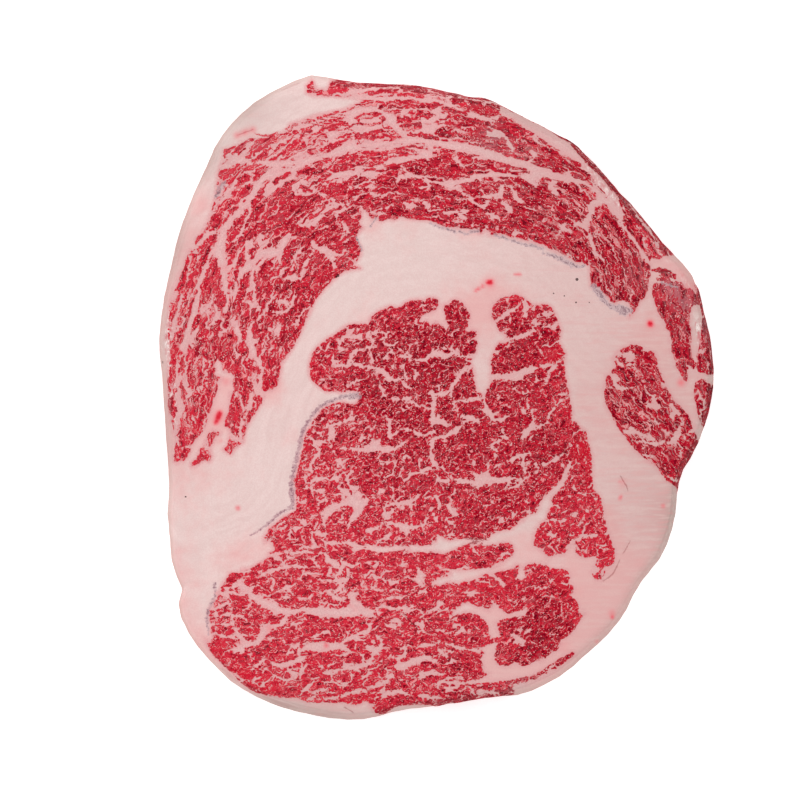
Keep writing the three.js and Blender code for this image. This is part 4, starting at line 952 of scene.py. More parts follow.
# %% [markdown]
# ## Soft tints
# Some muscles are finely marbled and some almost plain, some dark and some bright, and in places fine
# hairlines of fat run between the fibres. Such changes have no edge. Painting weights on the mesh by
# hand would do, but a list can be read and mended, so they are laid on as soft round spots: x, y, the
# spot's radius in millimetres and how much it adds.

# %% Spots on the lean
MARBLED = [
    (-58, 70, 14, .35), (-20, 80, 16, .42), (-45, 76, 10, .3), (-52, 48, 9, .45), (0, 86, 8, .35),
    (-30, 92, 5, .3), (-78, 30, 9, .3), (-66, 45, 12, .1), (-60, 22, 9, .25), (-80, 2, 8, .5),
    (5, 60, 16, -.1), (30, 60, 14, -.2), (24, 66, 8, .1), (52, 48, 10, -.25), (28, 78, 10, -.3),
    (60, 0, 12, -.2), (68, -16, 8, -.2), (74, 22, 14, -.3), (-30, 8, 10, .1), (-10, 16, 10, -.05),
    (-12, 0, 12, -.05), (24, 15, 9, -.35), (6, 26, 5, -.3), (25, -5, 14, -.15), (15, -14, 12, -.1),
    (38, -12, 8, -.15), (-30, -22, 12, .1), (44, -32, 8, -.15), (-38, -54, 14, .25), (-60, -68, 9, .15),
    (-68, -64, 5, .3), (-30, -82, 14, .1), (30, -62, 10, -.1), (0, 8, 20, -.1), (10, -34, 14, -.12),
    (12, -70, 16, -.12), (27, -80, 8, -.1), (66, -6, 6, .25), (-20, 92, 8, .35), (6, 92, 8, .4),
    (-66, 54, 7, .3), (-54, 42, 7, .3), (-60, 24, 9, .25), (-42, -42, 6, .35), (-18, -30, 6, .25),
    (6, -42, 5, .25), (-18, -54, 6, .25), (-66, -66, 6, .3), (6, 78, 6, .25), (30, 78, 6, -.9),
    (-30, 18, 6, -.3), (-6, 6, 6, -.25), (54, 6, 6, -.3), (66, 30, 6, -.4), (78, 30, 6, -.3),
    (30, -6, 6, -.25), (66, -18, 6, -.8), (6, -30, 6, -.25), (-6, -42, 6, -.25), (18, -54, 6, -.3),
    (30, -78, 7, -.5), (6, -78, 6, -.25), (-54, 54, 6, -.6), (-66, 54, 5, -.5), (-42, 42, 6, -.25),
    (6, 90, 5, -.4), (18, 90, 6, .35), (18, 66, 6, .3), (-42, 66, 6, .25), (-30, 90, 5, .3),
    (-66, -6, 6, -.3), (-78, 18, 6, .3), (-78, 42, 6, .25), (-42, 78, 6, .2), (-30, 78, 6, .15),
    (18, -18, 6, -.15), (-54, 18, 5, .1), (-54, 42, 5, -.25), (-42, 5, 5, .2), (-6, 54, 8, -.2),
    (6, 66, 6, -.25), (-30, 66, 5, -.2), (-66, 42, 6, .2), (-66, 66, 6, .2), (-54, 66, 6, .2),
    (-6, 66, 5, .2), (-54, 6, 5, .2),
]
DARK = [
    (40, 80, 8, .3), (52, 69, 8, .4), (-14, 2, 20, .85), (20, -5, 24, .65), (36, -18, 11, .45),
    (-12, -26, 12, .4), (17, -35, 13, .5), (48, 4, 8, .5), (62, -2, 14, .85), (66, -20, 9, .8),
    (76, 26, 15, 1), (84, 6, 9, .9), (80, -10, 9, .6), (52, 44, 16, .85), (32, 62, 16, .7),
    (0, 62, 17, .55), (-22, 60, 12, .4), (14, 85, 16, .65), (44, 72, 10, .45), (-42, 50, 15, .35),
    (-48, 28, 14, .35), (-70, 20, 9, .25), (4, 20, 16, .6), (22, 20, 10, .3), (34, 19, 10, .5),
    (-22, 18, 9, .3), (33, -70, 13, .75), (36, -82, 10, .9), (54, 34, 10, .4), (20, 52, 12, .3),
    (78, -16, 8, .4), (36, -94, 10, .8), (10, -94, 14, .4), (-20, -94, 10, .25), (5, -80, 12, .25),
    (-38, -8, 10, .3), (62, 60, 8, .5), (62, 22, 8, .5), (-66, 10, 22, .2), (-52, 58, 18, .12),
    (70, 0, 20, .15),
]
BRIGHT = [
    (37, 13, 3.5, .8), (45.5, -16, 4.5, .9), (39.5, -57, 4, .7), (-60, -86, 4, .8), (-52, -89, 4, .8),
    (17, -59, 3, .5), (68, 13, 2.5, .6), (41, -4, 3, .5), (-66, -78, 4, .5), (-40, -91, 5, .5),
    (-20, -92, 6, .5), (43, -66, 3, .5), (-50, 2, 4, .4), (28, 29, 4, .5), (53, -46, 3, .6),
    (48, -26, 3, .5), (-39, 7, 4, .4), (-62, -58, 5, .3), (-75, 40, 4, .4), (-80, 10, 5, .4),
    (-63, 72, 5, .3),
]
VEINED = [
    (54, 42, 11, .9), (42, 54, 11, .6), (58, 27, 6, .8), (62, -2, 13, .9), (63, -17, 9, .8),
    (44, 60, 9, .5), (77, 18, 10, .5), (-74, 6, 10, .5), (-70, 26, 10, .4), (-66, -14, 8, .5),
    (30, 76, 12, .3), (-85, 20, 12, .7), (-85, -5, 10, .7), (26, -90, 6, .4), (50, 73, 8, .4),
    (58, 62, 7, .4), (79, 36, 7, .5), (70, 44, 6, .3), (81, 20, 5, .35),
]

def tint(drops, start=0.0):
    """The sum of the soft spots at each point, between 0 and 1."""
    total = np.full(len(spots), start)
    for x, y, radius, amount in drops:
        total += amount * np.exp(-((spots - (x, y))**2).sum(1) / radius**2)
    return np.clip(total, 0, 1)

USUAL_MARBLING = 0.4
marbled = tint(MARBLED, USUAL_MARBLING)
dark, bright, veined = (tint(drops) for drops in (DARK, BRIGHT, VEINED))
print("mean marbling:", round(marbled.mean(), 2))

# %% [markdown]
# The fat blushes where it meets the lean, is chalky in the thickest parts of the collar, and turns dull
# and darker towards the rim, partly as painted shade, and painted shade darkens its right side. Skins look
# rosy where blood shows through, a painted sheen stands for the pale light off a wet film, and small drops
# of blood sit where vessels were cut.

# %% Spots on the fat
BLUSH = [
    (44, -64, 6, .5), (-30, 60, 8, .2), (52, -70, 12, .6), (28, -88, 10, .6), (18, -62, 8, .6),
    (48, -40, 9, .6), (20, -80, 8, .5), (-20, 22, 7, .5), (0, 24, 6, .5), (12, 26, 7, .5), (22, 32, 7, .4),
    (-20, 54, 6, .5), (-8, 54, 6, .4), (10, 52, 6, .5), (-80, -55, 12, .4), (-80, -70, 10, .5),
    (-72, -80, 8, .7), (-82, -30, 12, .4), (-64, 3, 5, .7), (-52, 4, 5, .5), (-51, -47, 5, .6),
    (34, 84, 9, .5), (30, -46, 6, .5), (62, -60, 9, .3), (-62, -88, 6, .4), (-84, 35, 16, .8),
    (-80, 0, 14, .6), (-71, -8, 9, .8), (-84, -15, 8, .5), (-64, -50, 5, .5), (-57, -47, 5, .4),
    (-70, -26, 6, .2), (-62, -20, 5, .2), (72, 0, 18, .6), (59, -62, 16, .8), (50, -75, 12, .8),
    (47, -40, 8, .6), (66, 20, 10, .6), (49, -50, 10, .6), (25, -82, 12, .5), (55, -12, 8, .4),
    (48, 2, 9, .3), (62, 45, 9, .5), (-72, 60, 7, .5), (-76, 48, 6, .4), (54, -50, 7, .4),
    (-45, -12, 4, .3), (40, 28, 8, .2), (72, -40, 10, .3), (-52, -71, 4, .4), (-30, -96, 12, .3),
    (-59, 81, 4, .6), (15, 22, 14, .3), (12, 30, 10, .3), (69, 42, 6, .8), (77, 40, 6, .6),
    (20, -57, 14, .5), (48, -70, 16, .7), (25, -86, 14, .5), (-51, 3, 6, .5),
]
PALE = [
    (-10, 42, 16, .7), (-30, 28, 10, .6), (-50, -24, 10, .5), (15, 32, 10, .5), (50, 18, 9, .5),
    (62, -42, 12, .5), (-78, -30, 10, .5), (-72, -45, 10, .3), (-58, 84, 10, .4),
]
BLOOD = [
    (16.7, 35.5, .7, .9), (15.8, 35.4, .6, .5), (16.4, 35.4, 2.6, .35), (13, 33.5, .7, .6),
    (12, 32.9, .6, .6), (14.3, 34.3, .6, .5), (24.4, 38, .6, .6), (25.7, 38, .7, .6), (79.5, 34, 3, .3),
    (76, 38.5, 3.5, .22), (71, 43, 3.5, .12), (66, 22.7, .85, .9), (66, 22.7, 2.2, .3),
    (-66.9, -4.9, .9, .7), (-67.4, -6.3, .9, .7), (-68.1, -7.8, .8, .6), (-67.4, -6.2, 3, .32),
    (-61.3, -34.2, 1, .6), (57, -30.5, .7, .4), (56.4, -26, .6, .2), (-34, -76.6, 1, .6),
    (70, -33.5, .9, .5), (-76, 13.5, 1.5, .5), (-65, 5, 1.8, .35), (-51.5, -71.2, 1.6, .35),
    (-65.5, 39.8, 1.4, .3), (56.7, -31.3, .8, .4), (75.5, 4.5, 1.5, .5), (54.2, -66.6, 1.5, .35),
    (54.4, -68, .7, .5), (39.5, -77, 3, .22), (49.6, -75.6, .8, .4), (43.5, -60, 2.5, .15),
    (-25, -65.5, 1.5, .25), (-61.5, 80.8, 1.5, .42), (-59, 81.8, 1.4, .4), (-56.5, 82.6, 1.4, .42),
    (57.5, -26.5, 1.4, .3), (-66.5, -13.5, 1, .3), (-73, 59, 3, .15),
]
# Dull, darker fat towards the rim, and painted shade: the wide spot on the right darkens that whole side.
DULL_AND_SHADED = [
    (-86, 50, 10, .3), (-88, 20, 16, .3), (-88, -10, 14, .35), (-50, -99, 9, .35), (-36, -102, 9, .25),
    (-72, 74, 8, .4), (25, 88, 14, .3), (85, 0, 60, .6), (75, -42, 20, .35), (20, -10, 45, .15),
    (45, 65, 25, .3), (15, -90, 28, .25), (-30, -100, 22, .4), (55, -75, 20, .3), (-84, 45, 10, .3),
    (76, -36, 8, .3), (-60, 92, 8, .5),
]
ROSY = [(-40, -8, 14, .9), (-46, -26, 16, 1), (-58, -46, 14, .9), (-70, -66, 10, .6)]
# Painted sheen: a pale grey glaze where the moist surface would reflect the light.
PAINTED_SHEEN = [
    (26, -90.5, 4, .5), (-64, 87, 11, .7), (-54, 95, 8, .3), (-72, 76, 6, .5), (80, 21, 3.5, .6),
    (-45, -96, 7, .4), (17, 79.5, 4, .7), (24, 76.5, 3, .3), (73, 33.5, 3.5, .8), (76, 28, 3, .4),
    (62, 38, 4, .3), (79, 30, 3, .4),
]
blush, pale, blood, dull_and_shaded, rosy, painted_sheen = (
    tint(drops) for drops in (BLUSH, PALE, BLOOD, DULL_AND_SHADED, ROSY, PAINTED_SHEEN))
print("blood on", f"{(blood > 0.5).mean():.1%}", "of the points")

# %% [markdown]
# ## Low relief
# The lean swells a little once it is cut and the fat stays where the knife left it, so bundles stand
# up by a tenth of a millimetre or two, skins and creases sink, and the rim is lumpy. Bump in the
# material would do for the cut face alone. Moving the points along their own facing gives the sides
# and the underside the same relief, and it is there in the mesh as well.

# %% Move the points
LEAN_SWELL = 0.16   # mm
GROOVE = 0.30       # mm
CUT_WAVES = 0.07    # mm, on the two faces
RIM_LUMPS = 0.05    # mm, round the side
STEEP, FLAT = 0.35, 0.85  # how far a surface faces up or down on the side and on the two faces

def lumps(size, seed, count=14):
    """Smooth random lumps about `size` mm across, mostly between -1 and 1."""
    dice = np.random.default_rng(seed)
    ways = dice.normal(size=(count, 3))
    ways *= (math.pi / size) * dice.uniform(0.7, 1.4, (count, 1)) / np.linalg.norm(ways, axis=1)[:, None]
    return np.sin(points @ ways.T + dice.uniform(0, math.tau, count)).sum(1) / math.sqrt(count / 2)

def ease(value, start, end):
    """0 before start, 1 after end, smooth between."""
    share = np.clip((value - start) / (end - start), 0, 1)
    return share * share * (3 - 2 * share)

def within(found, soft):
    """How much each point lies in a stroke: 1 inside it, 0 past its soft edge."""
    return ease(found[:, 1] - found[:, 2], soft, -0.1)

facing = facings(steak.data)
face_share = ease(np.abs(facing[:, 2]), STEEP, FLAT)
in_lean = ease(np.minimum(lean, seam[:, 1] - seam[:, 2]), -0.1, 1.0)
rise = LEAN_SWELL * in_lean * (0.7 + 0.5 * lumps(4.2, seed=1))
rise -= GROOVE * np.maximum(within(film, 0.5), within(crease, 0.6))
rise += CUT_WAVES * (lumps(9, seed=2) + 0.6 * lumps(3.5, seed=3)) * face_share
rise += RIM_LUMPS * (lumps(6, seed=4) + 0.6 * lumps(2.6, seed=5)) * (1 - face_share)
moved = np.clip((points + rise[:, None] * facing) * MM, *cad_box)
steak.data.vertices.foreach_set("co", moved.ravel())
steak.data.update()
print("relief, mm:", round(rise.min(), 2), "to", round(rise.max(), 2))

# %% [markdown]
# ## Handing the distances over
# A material can read numbers that are stored on the points, three under each name, and it blends them
# across each triangle. Two more are worked out here: how far a point lies in from the rim, and how much
# its surface belongs to the side.

# %% Hand the distances to the shader
DEPTH_SQUEEZE = 0.35  # fibres run down through the slice, so patterns are drawn out that way
RIM_STEPS = 720       # directions from the middle in which the rim is measured

def attribute(name, *values):
    """Stores up to three numbers on each point of the steak."""
    layer = steak.data.attributes.new(name, "FLOAT_VECTOR", "POINT")
    layer.data.foreach_set("vector", np.column_stack(values).ravel().astype(np.float32))

bearing = np.arctan2(points[:, 1], points[:, 0])
radius = np.hypot(points[:, 0], points[:, 1])
widest = np.zeros(RIM_STEPS)
np.maximum.at(widest, ((bearing / math.tau + 0.5) * (RIM_STEPS - 0.01)).astype(int), radius)
steps = (np.arange(RIM_STEPS) + 0.5) / RIM_STEPS * math.tau - math.pi
rim = np.interp(bearing, steps, widest) - radius
side = 1 - face_share
attribute("lean", lean, veined, rosy)
for name, found in (("seam", seam), ("strip", strip), ("film", film), ("crease", crease)):
    attribute(name, found)
attribute("grain", grain, points[:, 2] * DEPTH_SQUEEZE)
attribute("meat", marbled, dark, bright)
attribute("tallow", blush, pale, side)
attribute("edge", rim, blood, dull_and_shaded)
attribute("wrap", curve, painted_sheen)
print("attributes:", [layer.name for layer in steak.data.attributes if not layer.is_internal])

# %% [markdown]
# ## Writing a shader as sums
# A procedural material is a web of small nodes, and sums of nodes are hard to read on a screen full of
# wires. Here a socket is wrapped so that ordinary Python sums on it add the Math nodes, and the
# material reads like the recipe it is. The reflected forms make `1 - share` work too.

# %% A socket that can be added, multiplied and compared
class Flow:
    """A value that changes over the surface: one socket of one node."""

    def __init__(self, maker, socket):
        self.maker, self.socket = maker, socket

    def math(self, operation, *others):
        """A Math node with this value first."""
        return self.maker.add("Math", {"operation": operation}, dict(enumerate((self, *others))))

    def __add__(self, other):
        return self.math("ADD", other)

    def __sub__(self, other):
        return self.math("SUBTRACT", other)

    def __rsub__(self, other):
        return self.maker.add("Math", {"operation": "SUBTRACT"}, {0: other, 1: self})

    def __mul__(self, other):
        return self.math("MULTIPLY", other)

    __radd__, __rmul__ = __add__, __mul__

    def least(self, other):
        return self.math("MINIMUM", other)

    def most(self, other):
        return self.math("MAXIMUM", other)

    def blend_least(self, other, soft):
        """The smaller of the two, with the corner between them rounded."""
        return self.math("SMOOTH_MIN", other, soft)

    def eased(self, start, end):
        """0 before start, 1 after end, smooth between."""
        return self.maker.add("MapRange", {"interpolation_type": "SMOOTHSTEP"}, {0: self, 1: start, 2: end})

class Maker:
    """Adds nodes to one material."""

    def __init__(self, name):
        self.material = bpy.data.materials.new(name)
        self.material.use_nodes = True
        self.nodes, self.links = self.material.node_tree.nodes, self.material.node_tree.links

    def add(self, kind, settings=None, sockets=None, out=0):
        """A node of any kind: its settings first, then numbers or links for its sockets."""
        node = self.nodes.new("ShaderNode" + kind)
        for name, value in (settings or {}).items():
            setattr(node, name, value)
        for key, value in (sockets or {}).items():
            if isinstance(value, Flow):
                self.links.new(value.socket, node.inputs[key])
            else:
                node.inputs[key].default_value = value
        return Flow(self, node.outputs[out])

    def stored(self, name, out="Fac"):
        return self.add("Attribute", {"attribute_name": name}, out=out)

    def stored_three(self, name):
        """The three numbers kept under a name, one by one."""
        parts = self.add("SeparateXYZ", sockets={0: self.stored(name, "Vector")}).socket.node
        return [Flow(self, part) for part in parts.outputs]

    def vector(self, operation, *values):
        return self.add("VectorMath", {"operation": operation}, dict(enumerate(values)))

    def mix(self, share, under, over):
        """One colour laid over another by a share of 0 to 1."""
        return self.add("Mix", {"data_type": "RGBA"}, {0: share, 6: under, 7: over}, out=2)

    def noise(self, where, size, detail=2.0, rough=0.5, out=0):
        """Cloudy noise with lumps about `size` mm across."""
        return self.add("TexNoise", sockets={"Vector": where, "Scale": 1 / size, "Detail": detail,
                                             "Roughness": rough}, out=out)

print("sums ready:", [name for name in vars(Flow) if name.startswith("__") and name != "__init__"][:6])

# %% [markdown]
# ## Colours
# Paint programs name a colour by three numbers from 0 to 255, on a curve that suits the eye. A shader
# works in plain light, so each number is turned into light first. Picking colours in the editor does
# the same behind the scenes.

# %% Colours
def srgb(*channels):
    """A colour as a paint program names it, as the light a shader works in."""
    light = [c / 255 / 12.92 if c < 10 else ((c / 255 + 0.055) / 1.055)**2.4 for c in channels]
    return (*light, 1)

print("fresh lean as light:", [round(part, 2) for part in srgb(212, 52, 70)])

# %% [markdown]
# ## The beef
# The material starts with what the points know. `place` is where a point lies in millimetres, squeezed
# in height, and `layers` is the same along and across the fibres. A gentle wobble bends both, because
# nothing in meat is straight.

# %% What the points know
PER_METRE = (1000, 1000, 350)
beef = Maker("marbled_beef")
place = beef.vector("MULTIPLY", beef.add("TexCoord", out=3), PER_METRE)
layers = beef.stored("grain", "Vector")
marbling, darkness, brightness = beef.stored_three("meat")
blushing, whiteness, sideness = beef.stored_three("tallow")
rim, blood, dull_and_shaded = beef.stored_three("edge")
painted_sheen = beef.stored_three("wrap")[2]
lean_depth, veined, rosy = beef.stored_three("lean")

def stroke(name):
    """How far outside the strokes kept under this name, in mm, less than zero inside them."""
    across, away, half = beef.stored_three(name)
    return across.math("ABSOLUTE").most(away - 0.5) - half

def wobble(size, amount):
    """A sideways push of a few tenths of a millimetre that changes over `size` mm."""
    push = beef.vector("SUBTRACT", beef.noise(place, size, 2, 0.5, out=1), (.5, .5, .5))
    return beef.vector("MULTIPLY", push, (amount, amount, 0))

bent = beef.vector("ADD", layers, beef.vector("ADD", wobble(2.8, 3.2), wobble(0.9, 0.9)))
print("nodes that read the points:", len(beef.nodes))

# %% [markdown]
# ## Bundles
# Real marbling is fat that has grown between fibre bundles, so it follows their edges at two scales:
# fine veins round bundles one millimetre across, broader ones round groups of them. Voronoi cells are
# shaped like such bundles. Their distance-to-edge output is the distance to the nearest vein, in the
# same terms as the seams drawn by hand, so all of them join into one web of fat.

# %% Cells for fibres, bundles and groups
FIBRE, BUNDLE, GROUP = 0.85, 1.3, 3.1  # mm across

def cells(size, feature, out):
    """Cells `size` mm across, shaped like fibre bundles."""
    return beef.add("TexVoronoi", {"voronoi_dimensions": "2D", "feature": feature},
                    {"Vector": bent, "Scale": 1 / size}, out=out)

def dice(size):
    """Three numbers thrown once for each cell."""
    thrown = beef.add("SeparateColor", sockets={0: cells(size, "F1", 1)}).socket.node.outputs
    return [Flow(beef, part) for part in thrown]

fibre, bundle, group = (cells(size, "DISTANCE_TO_EDGE", 0) * size for size in (FIBRE, BUNDLE, GROUP))
bundle_middle, group_middle = (cells(size, "F1", 0) * size for size in (BUNDLE, GROUP))
shade_dice, fat_dice, edge_dice = dice(BUNDLE)
speck_dice, gloom_dice, _ = dice(FIBRE)
ragged = beef.noise(place, 0.62, 2, 0.6) - 0.5
patchy = beef.noise(bent, 2.8, 2, 0.55)
spotty = beef.noise(bent, 1.3, 2, 0.6)
print("nodes with the cells:", len(beef.nodes))

# %% [markdown]
# ## The web of fat
# A vein opens where its noise is high and the muscle well marbled, and closes elsewhere. Where several
# bundles meet, a bay of fat widens the corner. Smooth minimum joins veins and seams with a rounded
# fork, as fat does, where a plain minimum would leave a sharp one. Each bundle bulges a little, which
# makes the edge of the lean scalloped. The end result, `web`, is the depth into the lean in millimetres.

# %% Veins between bundles and bays at their corners
CLOSED = 0.10     # mm of lean over a vein that doesn't open
MIDDLING = 0.40   # the noise at which a bay is as wide as usual

def veins(away, noise, by_marbling, limit, widest):
    """Depth into the lean beside the veins between cells."""
    return away + CLOSED - (noise + marbling * by_marbling - limit).most(0) * widest

def bays(middle, size, noise, reach, strength, least):
    """Depth into the lean beside the bays at the corners of cells."""
    return (reach - (noise - MIDDLING) * strength * (marbling + least)) * size - middle

group_veins = veins(group, patchy, by_marbling=0.30, limit=0.62, widest=2.8)
group_bays = bays(group_middle, GROUP, patchy, reach=1.02, strength=1.0, least=0.2)
bundle_veins = veins(bundle, spotty, by_marbling=0.15, limit=0.60, widest=1.7)
bundle_bays = bays(bundle_middle, BUNDLE, spotty, reach=0.98, strength=1.3, least=0.1)
waves = beef.noise(place, 2.4, 1, 0.5) - 0.5
lobes = (0.60 - bundle_middle) * 0.9 + (edge_dice - 0.4) * 0.5 + waves * 0.6
body = (lean_depth + lobes * 0.4).least(stroke("seam") + lobes * 0.8)
body = body.blend_least(group_veins + lobes * 0.3, 0.6).least(group_bays + lobes * 0.8)
body = body.most(lobes * 0.4 - stroke("strip"))
web = body.blend_least(bundle_veins, 0.8).least(bundle_bays)
red = web.eased(-0.10, 0.10)
print("nodes with the web:", len(beef.nodes))

# %% [markdown]
# ## The colour of the lean
# Lean isn't one red. Some bundles are darker, some milky with fat too fine to see, and each is brighter
# along its edge, with painted shade in the cracks between its fibres and painted glints and sheen on it.
# Each such thing is a coat of colour with a share of 0 to 1 that says where it lies, and the coats are
# laid over each other in turn.

# %% Colour of the lean
def coated(colour, *coats):
    """The colour with coats laid over it, each a share and a colour."""
    for share, coat in coats:
        colour = beef.mix(share, colour, coat)
    return colour

mottle = beef.noise(bent, 0.45, 1, 0.5)
cloud = beef.noise(bent, 0.95, 2, 0.6)
patch = beef.noise(place, 7, 2, 0.5)
inner = web.eased(0.04, 0.40)
threads = (mottle - 0.5) * 3.0 + (shade_dice - 0.5) * 0.4
deep = (darkness + (patch - 0.5) * 0.8 + threads).eased(-0.1, 1.0)
milky = (fat_dice * 0.5 + cloud - 0.60).eased(0.0, 0.5) * inner
corner = cells(FIBRE, "F1", 0) + marbling * 0.1 + 0.03 - dull_and_shaded * 0.12
corner = corner + (mottle - 0.5) * 0.5 + (speck_dice - 0.5) * 0.2
plain = inner * corner.eased(0.82, 0.66)
# Painted shade in the cracks between fibres.
crevice_shade = fibre.eased(0.20, 0.04) * cloud.eased(0.58, 0.44) * plain
# Painted shade along veins that hold no fat.
shut_vein_shade = spotty.eased(0.52, 0.40) * bundle.eased(0.17, 0.03) * plain
ribbons = beef.noise(beef.vector("MULTIPLY", bent, (0.5, 1, 1)), 1.6, 1, 0.4)
hair = (ribbons - 0.5).math("ABSOLUTE").eased(0.032, 0.010) * veined
# Painted glints: small pale points where the wet surface would catch the light.
painted_glint = beef.noise(place, 0.42, 0).eased(0.70, 0.76)

lean_colour = coated(
    srgb(212, 52, 70),
    (deep, srgb(128, 0, 26)),                                        # dark threads and patches
    (milky * 0.45, srgb(220, 104, 112)),                             # bundles full of fine fat
    (cloud.eased(0.50, 0.32) * inner * 0.5, srgb(140, 0, 20)),       # shade within a bundle
    (gloom_dice.eased(0.55, 0.1) * inner * 0.35, srgb(116, 0, 18)),  # fibres darker than the rest
    ((1 - inner) * 0.6, srgb(220, 14, 44)),                          # the bright edge of a bundle
    (crevice_shade * 0.85, srgb(88, 0, 16)),                               # painted shade in the cracks between fibres
    (shut_vein_shade * 0.8, srgb(92, 0, 16)),                                 # painted shade in veins without fat
    (corner.eased(0.80, 0.90) * 0.9, srgb(236, 148, 150)),           # specks of fat where fibres meet, partly painted glints
    (hair * 0.85, srgb(233, 164, 163)),                              # hairlines of fat
    (painted_sheen * cloud.eased(0.35, 0.6) * 0.8, srgb(190, 128, 134)),     # painted sheen over the lean
    (painted_glint * 0.7, srgb(238, 188, 184)),                              # painted glints
    (brightness * 0.6, srgb(216, 16, 42)),                           # fresh, bright red places
)
print("nodes with the lean:", len(beef.nodes))

# %% [markdown]
# ## The colour of the fat
# Fat is nearly white, but never plain: it is faintly streaked along the rim, blushes pink near the
# lean, is pinker inside the muscles than outside, and is a darker beige at the very edge, partly dried fat
# and partly painted shade where the rim rounds away. At the right the knife dragged fine lines across it,
# and near the rib ends it is speckled with flecks, whose white ones are partly painted glints.

# %% Colour of the fat
wrapped = beef.vector("MULTIPLY", beef.stored("wrap", "Vector"), (0.26, 1, 0))
wrapped = beef.vector("ADD", wrapped, beef.vector("MULTIPLY", place, (0.3, 0.3, 0)))
streak = beef.noise(beef.vector("ADD", wrapped, wobble(6, 4)), 2.4, 3, 0.55)
grit = beef.noise(place, 0.4, 1, 0.5)
blots = beef.noise(place, 2.6, 2, 0.6)
knife_lines = beef.noise(beef.vector("MULTIPLY", place, (0.14, 1, 1)), 1.3, 2, 0.6)
flecks = beef.noise(beef.vector("MULTIPLY", place, (1, 0.5, 1)), 0.9, 2, 0.6)
turned = sideness.eased(0.15, 0.8)
within_muscle = lean_depth.eased(-1.6, 0.1)
pink = ((patch - 0.5) * 0.8 + (blots - 0.5) * 0.6 + blushing).eased(0.0, 1.0)
speckled = (veined * rim.eased(5.5, 3.5)).eased(0.3, 0.8) * (1 - turned * 0.88)

fat_colour = coated(
    srgb(229, 201, 197),
    (streak.eased(0.32, 0.68), srgb(236, 209, 205)),
    (whiteness * 0.6, srgb(230, 209, 204)),                                    # chalky middle
    (pink * 0.75, srgb(237, 174, 172)),                                        # blush
    (within_muscle * (web.eased(-1.3, -0.3) * 0.4 + 0.55), srgb(233, 172, 172)),
    (web.eased(-0.35, 0.05) * 0.35, srgb(228, 140, 146)),                      # along the lean
    (painted_sheen * 0.8, srgb(208, 196, 190)),                                        # painted sheen, a grey glaze
    (rim.eased(2.2, 0.0) * (0.45 - speckled * 0.4), srgb(196, 166, 156)),      # the very edge: dried fat, and painted shade where the rim rounds away
    (dull_and_shaded, srgb(200, 158, 154)),                                               # dull fat, and painted shade over the right side
    (rim.eased(4.5, 0.5) * dull_and_shaded * 0.9, srgb(186, 168, 160)),                   # dull fat at the rim, with painted shade
    (knife_lines.eased(0.50, 0.62) * dull_and_shaded * 0.35, srgb(226, 202, 194)),
    (knife_lines.eased(0.46, 0.36) * dull_and_shaded * 0.4, srgb(222, 158, 156)),
    # white flecks, partly fat and partly painted glints
    (flecks.eased(0.50, 0.60) * speckled * 0.85, srgb(246, 234, 229)),
    (flecks.eased(0.46, 0.38) * speckled * 0.75, srgb(206, 96, 104)),
    (grit.eased(0.7, 0.3) * (within_muscle * 0.4 + 0.18), srgb(206, 152, 154)),
)
print("nodes with the fat:", len(beef.nodes))

# %% [markdown]
# ## Skins, creases and blood
# These lie over lean and fat alike. A skin is grey with darker beads, or rosy where blood shows through.
# Creases and pits belong to the cut face, so they fade out further down and round the side, where they
# would show as smudges. The side itself is painted a little darker, as painted shade where it turns away
# from the light.

# %% Skins, creases and blood
beads = beef.noise(place, 1.0, 1, 0.5)
skin = stroke("film") + ragged * 0.5 + (beads - 0.5) * 1.9
height_above = beef.add("SeparateXYZ", sockets={0: place}, out=2)
# Painted shade in the creases; at the rim they are painted shadow lines where the side turns under.
crease = (stroke("crease") + ragged * 0.6).eased(0.12, -0.12)
crease = crease * height_above.eased(1.5, 2.3) * (1 - turned * 0.65)
skin_colour = beef.mix(rosy, srgb(194, 168, 172), srgb(186, 142, 150))
bead_colour = beef.mix(rosy, srgb(122, 84, 96), srgb(126, 74, 92))
crease_shade_colour = beef.mix(red, srgb(154, 74, 76), srgb(84, 6, 20))

colour = coated(
    fat_colour,
    (red, lean_colour),
    (skin.eased(0.3, -0.15) * 0.7, skin_colour),
    (skin.eased(-0.05, -0.3) * mottle.eased(0.44, 0.6) * 0.65, bead_colour),
    (crease * (red * 0.2 + 0.5), crease_shade_colour),
    (blood.eased(0.02, 0.8) * 0.85, srgb(236, 72, 92)),                 # the soft halo of a drop
    ((blood + ragged * 0.5).eased(0.5, 1.0) * 0.85, srgb(210, 4, 36)),  # the drop
)
# Painted shade: the side is darkened where it turns away from the light.
colour = beef.vector("MULTIPLY", colour, 1 - turned * (dull_and_shaded * 0.12 + red * 0.3 + 0.03))
print("nodes with skins and blood:", len(beef.nodes))
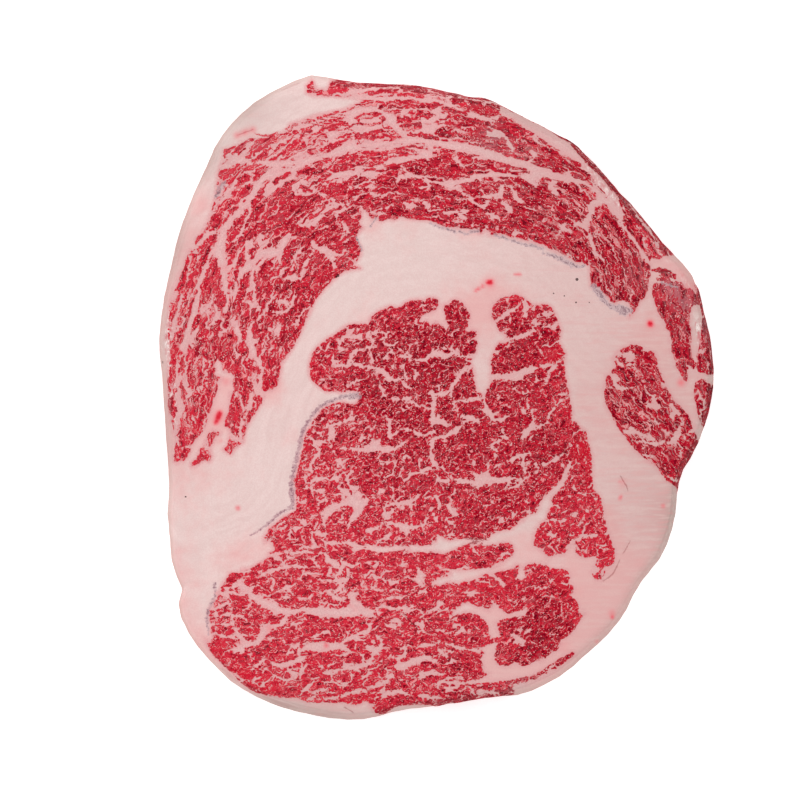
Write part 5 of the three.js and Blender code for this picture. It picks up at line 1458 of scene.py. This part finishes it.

# %% [markdown]
# ## Pits
# A few small vessels were cut across and left a small hole, whose shade is painted dark. Each is a round
# spot with a place and a radius. There are so few that their distances are worked out in the material
# itself.

# %% Small deep pits
PITS = [(43.4, 36.4, .4), (43.1, 29.3, .2), (36.2, 32.1, .15), (39.5, 31.3, .15), (47.2, 29.3, .12),
        (-77.4, -30.7, .2), (-30.4, 37.6, .4), (-30.9, 37.2, .3), (-84.8, 10.8, .35)]
flat_place = beef.vector("MULTIPLY", place, (1, 1, 0))
pit_shade = None
for x, y, radius in PITS:
    away = beef.vector("DISTANCE", flat_place, (x, y, 0))
    away = Flow(beef, away.socket.node.outputs["Value"]) - radius
    pit_shade = away if pit_shade is None else pit_shade.least(away)
pit_shade = pit_shade.eased(0.12, -0.15) * height_above.eased(3.8, 5.4)
# Painted shade inside the small holes.
colour = beef.mix(pit_shade * 0.85, colour, srgb(60, 30, 34))
print("pits:", len(PITS))

# %% [markdown]
# ## Shine and fine grain
# The cut face is moist, so its roughness changes in patches, and the dried side is dull. The grain of
# single fibres is finer than the mesh, so it alone is left to Bump. Everything above a tenth of a
# millimetre is in the mesh.

# %% Shine and fine grain
REFRACTION = 1.4
SHINE = 0.04
wet = beef.noise(place, 1.1, 2, 0.6)
gloss = 0.46 - red * 0.10 - wet.eased(0.45, 0.75) * 0.12 + turned * 0.5
bundle_grain = bundle.eased(0.0, 0.5) * 0.04 + mottle * 0.05 + cloud * 0.08
height = web.eased(-0.2, 0.5) * 0.06 + bundle_grain * red + streak * 0.02 + ragged * 0.03
height = height - pit_shade * 0.5 - shut_vein_shade * 0.03
bumps = beef.add("Bump", {}, {"Strength": 1.0, "Distance": MM, "Height": height})
surface = beef.nodes["Principled BSDF"]
surface.inputs["IOR"].default_value = REFRACTION
surface.inputs["Specular IOR Level"].default_value = SHINE
for name, value in (("Base Color", colour), ("Roughness", gloss), ("Normal", bumps)):
    beef.links.new(value.socket, surface.inputs[name])
steak.data.materials.clear()
steak.data.materials.append(beef.material)
print("nodes in the beef:", len(beef.nodes))

# %% [markdown]
# ## Handing over
# The steak replaces the plain solid and rides on the one body.

# %% Hand over
steak.data.shade_smooth()
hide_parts("steak")
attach(steak, "root")
bpy.context.view_layer.update()
